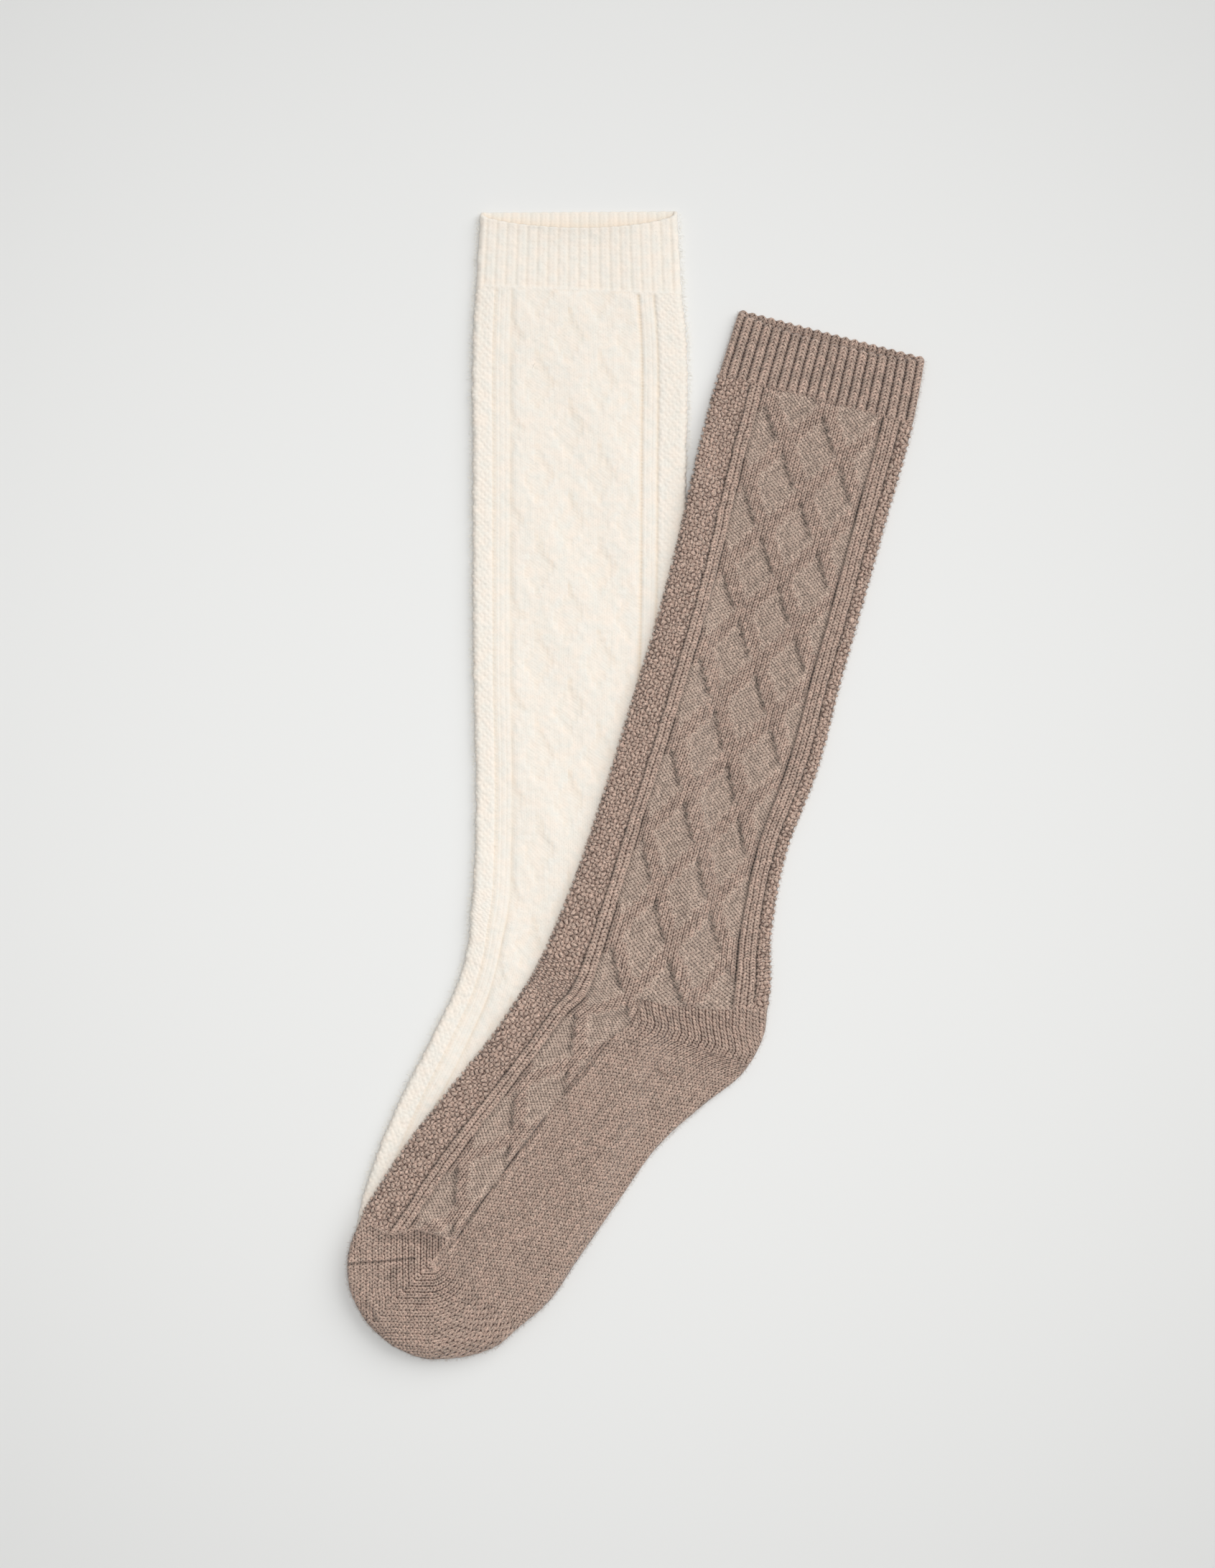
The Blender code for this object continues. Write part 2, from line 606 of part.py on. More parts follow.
def main():
    clear_scene()
    cream_sock, cream_walls = sock_walls(CREAM, lambda plan: np.zeros(len(plan)))
    outline = cream_sock.outline()
    full_height = 2 * WALL + SLIT + RIB + CLEARANCE

    def over_cream(plan):
        return full_height * (1 - smoothstep(DRAPE_START, DRAPE_END, signed_distance(plan, outline)))

    _, taupe_walls = sock_walls(TAUPE, over_cream)

    pieces = [(CREAM, part, wall) for part, wall in cream_walls.items()]
    pieces += [(TAUPE, part, wall) for part, wall in taupe_walls.items()]
    points = np.concatenate([np.array(wall.vertices) for _, _, wall in pieces])
    centre = (points.min(axis=0) + points.max(axis=0)) / 2
    centre[2] = points[:, 2].min()
    for style, part, wall in pieces:
        name = f"{style['name']}_{part}"
        item = bpy.data.objects.new(name, wall.mesh(name, centre))
        item.data.materials.append(knit_material(f"{name}_knit", style["color"]))
        bpy.context.scene.collection.objects.link(item)


main()
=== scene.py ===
"""A pair of knee-high cable-knit socks, laid flat, one across the other: the knitted surfaces.

Each sock is one knitted tube, flattened. Its solids are replaced piece by piece by thin shells of the
same form, on which ribs, diamonds, seed stitch and single stitches are raised. Lengths in the tables
are in millimetres, with X to the right, Y towards the cuffs and Z up. "Along" is the distance from the
cuff's edge down a sock. "Around" is a place on the ring round a sock: 0 at the front fold, 1 at the
back fold over the upper layer, and from there to 2 back under it.
"""

import bpy
import numpy as np
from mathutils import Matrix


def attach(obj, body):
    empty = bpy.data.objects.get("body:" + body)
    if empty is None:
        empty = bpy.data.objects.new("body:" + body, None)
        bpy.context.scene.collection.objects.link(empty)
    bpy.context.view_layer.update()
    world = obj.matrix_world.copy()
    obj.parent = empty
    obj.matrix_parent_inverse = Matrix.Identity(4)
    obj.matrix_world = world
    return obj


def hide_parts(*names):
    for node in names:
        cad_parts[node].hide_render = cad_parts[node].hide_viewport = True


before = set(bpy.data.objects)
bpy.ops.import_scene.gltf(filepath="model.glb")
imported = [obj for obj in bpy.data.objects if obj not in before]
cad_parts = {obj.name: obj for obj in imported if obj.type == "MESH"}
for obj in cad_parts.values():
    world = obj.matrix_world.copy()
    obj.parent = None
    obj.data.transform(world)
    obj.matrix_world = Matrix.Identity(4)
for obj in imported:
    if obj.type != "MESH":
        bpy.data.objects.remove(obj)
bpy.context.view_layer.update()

bl_info = {
    "name": "Pair of cable-knit socks",
    "version": (1, 0, 0),
    "blender": (4, 5, 0),
    "location": "3D View > Sidebar > Socks",
    "description": "Builds a pair of knitted knee socks, laid flat, with their stitches",
    "category": "Object",
}

MM = 0.001
BODY = "root"

# ---------------------------------------------------------------- sizes of the cloth, in millimetres

WALL = 1.8               # one layer of plain knit
SLIT = 0.6               # air between the two layers
FOLD = 2.4               # distance in from an edge at which the folded layers lie flat
FOLD_ARC = 3.54          # length of the rounded edge between those two places
MIDDLE = WALL + SLIT / 2
RIB = 0.8                # rise of the ribs
BAND_RISE = 1.2          # rise of the bands around the diamonds
TWIN_RISE = 0.8          # rise of the broad ribs beside the lattice
CORD_LINE = 0.25         # depth of the lines between a broad rib's wales
PLAIN = 0.25             # rise of plain knit over the valleys
JOIN = 0.6               # rise at the ends of the patterned bands
CUFF_JOIN = 0.4          # rise of the cuff and the leg where they meet
SEED_RISE = 0.5          # rise of the seed stitch
BETWEEN_BANDS = 0.45     # rise on the line between two bands
LATTICE_GROUND = 0.1     # rise of the lattice where its diamonds are deepest
PIT_DEPTH = 0.4          # further depth of the pits at the diamonds' corners, which also get painted shade
DRAPE_START = 2.0        # the upper sock stays at full height this far past the lower sock's outline
DRAPE_END = 17.0         # and has come down to the surface this far past it
CLEARANCE = 0.3          # between the two socks
LINE_ACROSS = 0.3        # the line down a sock along which lengths are measured
SPLIT_ACROSS = 0.46      # line between the patterned instep and the plain heel and sole
MOUTH_LENGTH = 15.0      # how far down the open mouth still gapes

# One row for each section across a sock, with its ends on the front fold and on the back fold and how
# far its middle bows towards the toe. Columns: place, front x, front y, back x, back y, bow.
TAUPE_SECTIONS = (
    ("cuff edge", 44.6, 204.8, 124.9, 184.0, 0.0),
    ("cuff end", 35.7, 176.5, 119.6, 155.6, 0.0),
    ("calf", 26.3, 140.7, 109.0, 117.7, 0.0),
    ("calf low", 17.9, 103.4, 98.7, 80.7, 0.0),
    ("mid leg", 7.9, 66.1, 88.2, 43.7, 0.0),
    ("shin", -3.6, 28.8, 78.2, 5.8, 0.0),
    ("above ankle", -15.1, -8.6, 64.5, -30.9, 0.0),
    ("ankle", -26.9, -42.8, 58.0, -66.4, 2.2),
    ("heel top", -40.3, -74.8, 56.8, -97.2, 8.7),
    ("heel back", -42.5, -79.1, 54.9, -109.9, 6.8),
    ("heel base", -44.3, -82.9, 45.9, -125.8, 2.8),
    ("heel end", -46.5, -86.3, 30.6, -138.2, 0.0),
    ("arch", -61.1, -108.1, 9.5, -157.2, 0.0),
    ("mid foot", -81.0, -133.0, -8.9, -182.7, 0.0),
    ("ball", -100.0, -157.8, -26.3, -207.6, 0.0),
    ("toe root", -110.6, -174.0, -38.1, -224.4, 0.0),
    ("toe start", -119.3, -188.9, -51.2, -235.6, 0.0),
    ("toe", -124.9, -206.7, -63.9, -245.2, 0.0),
    ("toe round", -122.1, -223.8, -81.3, -249.0, 0.0),
    ("toe end", -114.0, -236.2, -95.3, -248.0, 0.0),
    ("tip", -105.9, -243.4, -105.9, -243.4, 0.0),
)
CREAM_SECTIONS = (
    ("cuff edge", -67.6, 247.1, 17.6, 247.7, 0.0),
    ("cuff end", -69.5, 215.0, 19.5, 211.5, 0.0),
    ("calf", -70.8, 190.5, 21.6, 190.5, 0.0),
    ("calf low", -70.8, 140.7, 21.6, 140.7, 0.0),
    ("mid leg", -70.8, 91.0, 21.3, 91.0, 0.0),
    ("shin", -70.4, 41.2, 20.4, 41.2, 0.0),
    ("above ankle", -69.5, 0.8, 19.7, 0.8, 0.0),
    ("ankle", -69.8, -27.2, 19.7, -28.8, 0.9),
    ("heel top", -70.8, -47.4, 20.1, -54.6, 5.0),
    ("heel back", -71.4, -52.7, 19.1, -70.1, 5.0),
    ("heel base", -72.0, -58.3, 14.2, -83.8, 2.8),
    ("heel end", -72.3, -65.5, 5.8, -96.3, 0.0),
    ("arch", -76.7, -84.7, -2.6, -119.9, 0.0),
    ("mid foot", -88.8, -110.6, -11.4, -146.0, 0.0),
    ("ball", -101.5, -135.4, -22.2, -172.1, 0.0),
    ("toe root", -113.4, -164.1, -34.4, -200.8, 0.0),
    ("toe start", -120.5, -188.3, -46.8, -222.5, 0.0),
    ("toe", -121.4, -206.7, -58.9, -235.0, 0.0),
    ("toe round", -117.1, -221.0, -76.7, -239.3, 0.0),
    ("toe end", -109.0, -231.9, -89.7, -239.3, 0.0),
    ("tip", -100.6, -237.4, -100.6, -237.4, 0.0),
)

# The bands of the patterned upper layer, from the front fold to the back fold.
# Columns: band, its wales (columns of stitches), its width, mesh columns for each wale.
TAUPE_BANDS = (
    ("seed", 10, 15.0, 3),
    ("twin", 2, 5.9, 5),
    ("lattice", 25, 52.4, 4),
    ("back twin", 3, 7.7, 5),
    ("back seed", 4, 6.3, 3),
)
CREAM_BANDS = (
    ("seed", 7, 10.3, 3),
    ("twin", 3, 7.0, 4),
    ("lattice", 27, 56.5, 4),
    ("back twin", 3, 6.7, 4),
    ("back seed", 9, 13.8, 3),
)

# Deep folds beside the taupe sock's instep. Columns: x, y of the points of each.
GROOVE_WIDTH = 0.75
GROOVE_DEPTH = 1.1
TAUPE_GROOVES = (
    ((-10.1, -109.9), (-19.5, -121.0), (-30.9, -134.5)),
    ((-38.7, -144.1), (-46.5, -154.6), (-53.0, -162.2)),
    ((-49.6, -157.8), (-57.0, -168.2), (-65.8, -179.6), (-74.6, -191.6), (-76.9, -197.2)),
)

# Soft mounds (height above 0) and hollows of the taupe sock. Columns: height, width, line.
TAUPE_WAVES = (
    (1.5, 3.2, ((-98.0, -186.5), (-91.0, -186.0), (-85.0, -190.5), (-80.5, -197.5), (-81.0, -204.0))),
    (-1.3, 2.8, ((-112.0, -196.5), (-103.0, -196.5), (-92.0, -197.2), (-87.5, -201.5))),
    (-0.7, 1.6, ((-105.0, -181.0), (-109.0, -190.5))),
    (0.6, 1.6, ((-115.2, -221.6), (-111.0, -230.0), (-107.4, -236.2))),
    (-0.6, 2.2, ((-118.5, -224.0), (-113.5, -233.0))),
    (0.5, 4.0, ((-60.0, -110.0), (-40.0, -84.0))),
    (-0.5, 3.0, ((-2.0, -92.0), (8.0, -96.0), (24.0, -96.5))),
    (0.6, 4.0, ((22.0, -110.0), (44.0, -112.0))),
    (-0.5, 4.0, ((-4.0, -116.0), (14.0, -126.0), (34.0, -128.0))),
)

# What differs between the two socks. "column_start" and "column_step" are fractions across: where the
# first column of diamonds stands, and from one column to the next. "rows_along" gives the distance
# along at which the diamond count has the value below it in "rows_count", because the knitting is
# stretched unevenly. "stitch", "relief" and "cuff_relief" scale the height of the stitches, of the
# pattern and of the cuff's ribs. "wall" is the width of a diamond's steep wall, in parts of a diamond,
# and "softness" widens the lines between the bands. "nap" is the unevenness of a brushed yarn, in
# millimetres, and "pit" scales the pits' depth in the lattice and all the painted shade of pits and
# dark lines.
TAUPE = {
    "name": "taupe",
    "sections": TAUPE_SECTIONS,
    "bands": TAUPE_BANDS,
    "column_start": 0.27,
    "column_step": 0.15,
    "foot_column_step": 0.135,
    "rows_along": (25.0, 144.7, 476.7),
    "rows_count": (-0.7, 2.5, 10.5),
    "mouth_dip": 4.5,
    "mouth_lift": 0.8,
    "stitch": 1.0,
    "relief": 1.0,
    "cuff_relief": 1.0,
    "wall": 0.22,
    "softness": 1.0,
    "nap": 0.0,
    "pit": 1.0,
    "fibres": 9000,
    "edge_fibres": 7000,
    "fibre_length": 1.4,
    "fibre_radius": 0.035,
    "grooves": TAUPE_GROOVES,
    "waves": TAUPE_WAVES,
    "toe_corner": (-88.2, -207.0),
    "gore": (18.0, -111.7),
    "seam": ((-124.5, -207.9), (-112.0, -206.9), (-98.0, -205.4), (-86.3, -205.0)),
}
CREAM = {
    "name": "cream",
    "sections": CREAM_SECTIONS,
    "bands": CREAM_BANDS,
    "column_start": 0.16,
    "column_step": 0.145,
    "foot_column_step": 0.145,
    "rows_along": (25.0, 155.0, 479.0),
    "rows_count": (-0.764, 2.5, 10.5),
    "mouth_dip": 7.0,
    "mouth_lift": 1.2,
    "stitch": 0.35,
    "relief": 0.45,
    "cuff_relief": 0.25,
    "wall": 0.4,
    "softness": 1.8,
    "nap": 0.26,
    "pit": 0.32,
    "fibres": 7000,
    "edge_fibres": 9000,
    "fibre_length": 2.4,
    "fibre_radius": 0.045,
    "grooves": (),
    "waves": (),
    "toe_corner": (-85.0, -200.0),
    "gore": (0.0, -75.0),
    "seam": (),
}

FIBRE_SEED = 11
DARK_EVERY = 3500        # one loose fibre in so many is a dark speck of lint

# Plain knit of the heel and foot, in millimetres.
HEEL_WALE = 2.93
SOLE_WALE = 2.3
TOE_WALE = 2.58
SOLE_COURSE = 1.65
SOLE_LEAN = (0.815, 0.579)   # right and down, square to the sole's wales
COURSE_SKEW = 0.248          # how far the sole's courses run askew
GORE_SLOPE = -0.333          # of the line at which the heel's wales turn
GORE_TURN = 0.518            # wales for each millimetre below that line, beside it
GORE_REACH = 8.0
# Where the pattern ends before the toe. Columns: place around, distance to the toe in millimetres.
PATTERN_END = ((0.0, 1.5), (0.16, 2.0), (0.2, 3.5), (0.26, 10.5), (0.48, 17.5))
DIAMOND_COLUMNS = 5
DIAMOND_HALF_ROWS = 0.37     # half a diamond's length, in diamond counts
DIAMOND_HALF_WIDTH = 9.0     # half its width, in millimetres
CUFF_RIBS = 20
CUFF_SLANT = 0.7             # how much steeper than elsewhere, in courses, the legs of its stitches are
RIM_WAVE = 0.9               # how far the ribs stand up over the valleys at the rim
BY_A_HAIR = 1e-6             # so that neighbouring pieces agree on what lies just on a line
JAGGED = 0.7                 # how far the diamonds' edges step from stitch to stitch

# Grooves between the bands, with painted shade in them. Columns: band, its side, depth, darkness of the
# painted shade, width in millimetres.
BAND_LINES = (
    ("twin", 0, 0.5, 0.9, 0.4),
    ("twin", 1, 0.1, 0.25, 0.5),
    ("back twin", 0, 0.8, 1.2, 0.5),
    ("back twin", 1, 0.3, 0.6, 0.45),
)
MIDDLE_WIDTH = 85.0          # of a sock, for turning a fraction across into a place round its edge


# ---------------------------------------------------------------- properties

class SockKnitSettings(bpy.types.PropertyGroup):
    """Sizes of the stitches."""

    course: bpy.props.FloatProperty(
        name="Course", description="Height of one row of stitches",
        default=1.52 * MM, min=0.8 * MM, max=6.0 * MM, precision=5, unit="LENGTH")
    stitch_height: bpy.props.FloatProperty(
        name="Stitch height", description="How far a stitch stands above the crevices around it",
        default=0.34 * MM, min=0.0, max=1.0 * MM, precision=5, unit="LENGTH")


class SockColourSettings(bpy.types.PropertyGroup):
    """Yarn colours, in linear light."""

    taupe_light: bpy.props.FloatVectorProperty(
        name="Taupe yarn, light strand", description="The lighter of the taupe marl's two strands",
        default=(0.345, 0.266, 0.216), min=0.0, max=1.0, subtype="COLOR")
    taupe_pink: bpy.props.FloatVectorProperty(
        name="Taupe yarn, pink strand", description="The warmer of the taupe marl's two strands",
        default=(0.335, 0.235, 0.188), min=0.0, max=1.0, subtype="COLOR")
    cream: bpy.props.FloatVectorProperty(
        name="Cream yarn", description="Colour of the brushed cream yarn",
        default=(0.76, 0.727, 0.66), min=0.0, max=1.0, subtype="COLOR")


class SockStageSettings(bpy.types.PropertyGroup):
    """Camera, floor and light."""

    camera_height: bpy.props.FloatProperty(
        name="Camera height", description="Distance of the camera above the socks",
        default=2.0, min=0.5, max=10.0, unit="LENGTH")
    key_strength: bpy.props.FloatProperty(
        name="Window light", description="Strength of the light from the upper right",
        default=1.75, min=0.0, max=50.0, subtype="FACTOR")
    key_spread: bpy.props.FloatProperty(
        name="Window size", description="Angle over which the light from the upper right is spread",
        default=0.95, min=0.01, max=3.0, subtype="ANGLE")
    overhead_power: bpy.props.FloatProperty(
        name="Overhead light", description="Power of the soft box above",
        default=92.0, min=0.0, max=500.0, unit="POWER")
    fill: bpy.props.FloatProperty(
        name="Fill", description="Strength of the even light from all round",
        default=0.33, min=0.0, max=5.0, subtype="FACTOR")


# ---------------------------------------------------------------- curves and plan of a sock

def hermite(stations, values, where):
    """Smooth curve through values at uneven stations; each slope is the weighted mean of its sides."""
    steps = np.diff(stations)
    slopes = np.diff(values, axis=0) / steps[:, None]
    tangents = np.empty_like(values)
    tangents[0] = slopes[0]
    tangents[-1] = slopes[-1]
    before = steps[:-1, None]
    after = steps[1:, None]
    tangents[1:-1] = (slopes[:-1] * after + slopes[1:] * before) / (before + after)
    piece = np.clip(np.searchsorted(stations, where, side="right") - 1, 0, len(steps) - 1)
    size = steps[piece][:, None]
    t = ((where - stations[piece]) / steps[piece])[:, None]
    rise = 3 * t**2 - 2 * t**3
    return (values[piece] * (1 - rise) + values[piece + 1] * rise
            + size * tangents[piece] * (t**3 - 2 * t**2 + t)
            + size * tangents[piece + 1] * (t**3 - t**2))


def smoothstep(low, high, x):
    """Smooth rise from 0 at low to 1 at high."""
    t = np.clip((x - low) / (high - low), 0.0, 1.0)
    return t * t * (3 - 2 * t)


def quarter_round(distance, reach):
    """Height of a round edge, from 0 at the edge to 1 at a distance of reach."""
    t = np.clip(distance / reach, 0.0, 1.0)
    return np.sqrt(np.clip(1 - (1 - t) ** 2, 0.0, 1.0))


def signed_distance(points, outline):
    """Distance of plan points from a closed outline, below zero inside it."""
    nearest = np.full(len(points), np.inf)
    inside = np.zeros(len(points), bool)
    for start, end in zip(outline, np.roll(outline, -1, axis=0)):
        edge = end - start
        away = points - start
        t = np.clip(away @ edge / max(edge @ edge, 1e-9), 0.0, 1.0)
        nearest = np.minimum(nearest, ((away - t[:, None] * edge) ** 2).sum(axis=1))
        if start[1] != end[1]:
            crosses = (start[1] > points[:, 1]) != (end[1] > points[:, 1])
            inside ^= crosses & (away[:, 0] < edge[0] * away[:, 1] / edge[1])
    return np.where(inside, -np.sqrt(nearest), np.sqrt(nearest))


def line_distance(points, line):
    """Distance of plan points from a run of straight pieces."""
    nearest = np.full(len(points), np.inf)
    for start, end in zip(line[:-1], line[1:]):
        edge = np.subtract(end, start)
        away = points - start
        t = np.clip(away @ edge / (edge @ edge), 0.0, 1.0)
        nearest = np.minimum(nearest, ((away - t[:, None] * edge) ** 2).sum(axis=1))
    return np.sqrt(nearest)


def soften(field, passes):
    """Repeated weighted mean of each value and its neighbours on the grid, 1-2-1 both ways."""
    for _ in range(passes):
        wide = np.pad(field, 1, mode="edge")
        wide = (wide[:-2] + 2 * wide[1:-1] + wide[2:]) / 4
        field = (wide[:, :-2] + 2 * wide[:, 1:-1] + wide[:, 2:]) / 4
    return field


class Sock:
    """The flat plan of one sock, and its smooth surface before any knitting is raised on it."""

    def __init__(self, style, drape):
        self.style = style
        self.drape = drape
        rows = style["sections"]
        table = np.array([row[1:] for row in rows])
        self.front = table[:, 0:2]
        self.back = table[:, 2:4]
        self.bow = table[:, 4:5]
        line = self.front + LINE_ACROSS * (self.back - self.front)
        lengths = np.linalg.norm(np.diff(line, axis=0), axis=1)
        self.stations = np.concatenate([[0.0], np.cumsum(lengths)])
        self.place = {row[0]: station for row, station in zip(rows, self.stations)}
        self.length = self.stations[-1]
        wales = np.array([band[1] for band in style["bands"]])
        widths = np.array([band[2] for band in style["bands"]])
        self.wale_ends = np.concatenate([[0.0], np.cumsum(wales)])
        self.around_ends = np.concatenate([[0.0], np.cumsum(widths)]) / widths.sum()
        lattice = next(band for band in style["bands"] if band[0] == "lattice")
        self.wale_width = lattice[2] / lattice[1]
        self.upper_width = widths.sum()
        self.edges = {band[0]: (low, high) for band, low, high
                      in zip(style["bands"], self.wale_ends[:-1], self.wale_ends[1:])}

    def ends(self, along):
        """Both ends of the sections at some places along, and how far their middles bow."""
        front = hermite(self.stations, self.front, along)
        back = hermite(self.stations, self.back, along)
        return front, back, hermite(self.stations, self.bow, along)

    def squareness(self, along):
        """Sine of the angle between a section and each fold, and the section's width."""
        step = 0.5
        here = np.clip(along, 0.0, self.length - step)
        front, back, _ = self.ends(here)
        front_next, back_next, _ = self.ends(here + step)
        chord = back - front
        width = np.maximum(np.linalg.norm(chord, axis=1), 1e-6)
        unit = chord / width[:, None]
        sines = []
        for start, end in ((front, front_next), (back, back_next)):
            way = (end - start) / np.maximum(np.linalg.norm(end - start, axis=1), 1e-6)[:, None]
            sines.append(np.maximum(np.abs(unit[:, 0] * way[:, 1] - unit[:, 1] * way[:, 0]), 0.3))
        return sines[0], sines[1], width

    def across(self, along, around):
        """Fraction across for a place around: even steps around are even steps over the round edges."""
        front_sine, back_sine, width = self.squareness(along)
        square = width * (front_sine + back_sine) / 2
        fold = np.minimum(FOLD, square / 2 * 0.98)
        arc = FOLD_ARC * fold / FOLD
        total = square - 2 * fold + 2 * arc
        place = around * total
        from_end = np.minimum(place, total - place)
        curved = fold * (1 - np.cos(np.pi / 2 * np.clip(from_end / arc, 0.0, 1.0)))
        distance = np.where(from_end < arc, curved, fold + from_end - arc)
        share = np.where(place <= total / 2, distance, square - distance) / square
        return np.clip(share, 0.0, 1.0)

    def around(self, across):
        """Place around, on a section of the usual width, for a fraction across away from the folds."""
        return (across * MIDDLE_WIDTH - FOLD + FOLD_ARC) / (MIDDLE_WIDTH - 2 * FOLD + 2 * FOLD_ARC)

    def wales(self, around):
        """Number of the wale at a place around."""
        return np.interp(around, self.around_ends, self.wale_ends)

    def around_of_wales(self, wales):
        """Place around of a wale."""
        return np.interp(wales, self.wale_ends, self.around_ends)

    def from_wale(self, wales, wale):
        """Distance of places from one wale, in millimetres round the sock."""
        return np.abs(self.around_of_wales(wales) - self.around_of_wales(wale)) * self.upper_width

    def plan(self, along, across):
        """Plan position of points; the section's middle bows towards the toe."""
        front, back, bow = self.ends(along)
        chord = back - front
        width = np.maximum(np.linalg.norm(chord, axis=1, keepdims=True), 1e-6)
        toward_toe = np.stack([chord[:, 1], -chord[:, 0]], axis=1) / width
        share = across[:, None]
        return front + chord * share + toward_toe * bow * 4 * share * (1 - share)

    def outline(self):
        """The sock's edge in plan, once round."""
        along = np.linspace(0.0, self.length, 90)
        front, back, _ = self.ends(along)
        return np.concatenate([front, back[::-1][1:]])

    def roundness(self, along, across):
        """Height of the round edges: 0 on a fold or at the toe's tip, 1 a little way in."""
        front_sine, back_sine, width = self.squareness(along)
        front = across * width * front_sine
        back = (1 - across) * width * back_sine
        return (quarter_round(front, FOLD) * quarter_round(back, FOLD)
                * quarter_round(self.length - along, FOLD))

    def surface(self, along, ring, inner=False):
        """Points at (along, ring) on the smooth outer or inner surface, and the place along on the cloth.

        Height over the surface below is the middle of the two layers, plus or minus half their
        thickness times the roundness. At the mouth the upper layer is lower down and gapes.
        """
        style = self.style
        upper = ring <= 1.0
        around = np.where(upper, ring, 2.0 - ring)
        open_part = np.clip(1 - along / self.place["cuff end"], 0.0, 1.0) ** 2
        dip = style["mouth_dip"] * np.sqrt(np.clip(np.sin(np.pi * around), 0.0, 1.0))
        lowered = along + np.where(upper, dip * open_part, 0.0)
        gape = np.where(upper, np.clip(1 - along / MOUTH_LENGTH, 0.0, 1.0) ** 2, 0.0)
        gape = gape * style["mouth_lift"] * np.sin(np.pi * around)
        across = self.across(lowered, around)
        if inner:
            front_sine, back_sine, width = self.squareness(lowered)
            inset = np.minimum(WALL / (width * np.minimum(front_sine, back_sine)), 0.45)
            across = inset + across * (1 - 2 * inset)
            half = SLIT / 2 * quarter_round(np.maximum(self.length - WALL * 2 - lowered, 0.0), SLIT)
            half = half * quarter_round(np.minimum(around, 1 - around), 0.05)
            height = MIDDLE + np.where(upper, half + gape, -half)
        else:
            shape = self.roundness(lowered, across)
            height = MIDDLE + np.where(upper, MIDDLE * shape + gape, -MIDDLE * shape)
        plan = self.plan(lowered, across)
        return np.column_stack([plan, height + self.drape(plan)]), lowered


# ---------------------------------------------------------------- stitches

SLANT = 0.62          # how far along, in courses, the outer end of a stitch's leg lies past its point
SEED_MORE = 1.5       # how much higher, in parts of the usual height, the bumps of seed stitch are
EDGE_MORE = 4.2       # and how much more than that where seed stitch turns over the fold
MIDDLE_VALLEY = 0.7   # depth of the valley between a stitch's legs, in parts of the one beside it
VALLEY_DEPTH = 0.55   # of the valleys along the knit side, in parts of a stitch's height
DRAWN_MORE = 0.3      # how much deeper they are where the knitting is drawn in
GAP_DEPTH = 0.35      # of the gaps across the knit side
CROSSING_DEPTH = 0.6  # of the dots where the two meet
PURL_DEPTHS = (0.55, 0.35, 0.3)   # of the gaps to the right, the gaps to the left and their crossings
SEED_CREVICE = 0.3    # depth of the crevices round the low bumps of seed stitch
SEED_DOT = 0.8        # and of the dots where four bumps meet
DRAWN_RIB = 0.5       # how far the ribs are drawn in, from 0 to 1
DRAWN_BAND = 0.65     # and the bands between the diamonds
MEAN_STITCH = 0.6     # height of a stitch that leaves the surface where it is


def knit_height(wale, course, drawn):
    """Knit side: two slanting legs in each stitch. Valleys run along between the wales, and weaker ones
    between the two legs. Gaps lie across between one leg and the next, and make deep dots of them."""
    out = 2 * np.abs(wale - np.floor(wale) - 0.5)
    beside = (1 - np.abs(np.sin(np.pi * wale))) ** 2
    valley = beside + MIDDLE_VALLEY * (1 - np.abs(np.cos(np.pi * wale))) ** 2
    gap = (1 - np.abs(np.cos(np.pi * (course - SLANT * out)))) ** 2
    depth = VALLEY_DEPTH + DRAWN_MORE * drawn
    return np.clip(1 - depth * valley - GAP_DEPTH * gap - CROSSING_DEPTH * valley * gap, 0.0, 1.0)


def purl_height(wale, course):
    """Purl side: short bumps between two crossing sets of gaps, the ones that fall to the right deeper."""
    gap = (1 - np.abs(np.cos(np.pi * (course - wale)))) ** 1.5
    other = (1 - np.abs(np.cos(np.pi * (course + wale)))) ** 1.5
    right, left, both = PURL_DEPTHS
    return np.clip(1 - right * gap - left * other - both * gap * other, 0.0, 1.0)


def seed_height(wale, course):
    """Seed stitch: a chequerboard of high and low bumps, from the sine of wale times the cosine of
    course, with crevices round the low ones and a deep dot where four bumps meet."""
    board = smoothstep(-0.5, 0.5, np.sin(np.pi * wale) * np.cos(np.pi * course))
    beside = (1 - np.abs(np.sin(np.pi * wale))) ** 1.5
    above = (1 - np.abs(np.cos(np.pi * course))) ** 1.5
    crevice = SEED_CREVICE * (beside + above) * (1 - board)
    return np.clip(0.5 + 0.5 * board - crevice - SEED_DOT * beside * above, 0.0, 1.0)


def uneven(x, y, size, seed):
    """Random unevenness from -1 to 1: random values on a grid of the given size, smoothly joined."""
    table = np.random.default_rng(seed).uniform(-1.0, 1.0, (64, 64))
    column = np.floor(x / size).astype(int)
    row = np.floor(y / size).astype(int)
    right = smoothstep(0.0, 1.0, x / size - column)
    up = smoothstep(0.0, 1.0, y / size - row)
    low = table[column % 64, row % 64] * (1 - right) + table[(column + 1) % 64, row % 64] * right
    high = (table[column % 64, (row + 1) % 64] * (1 - right)
            + table[(column + 1) % 64, (row + 1) % 64] * right)
    return low * (1 - up) + high * up


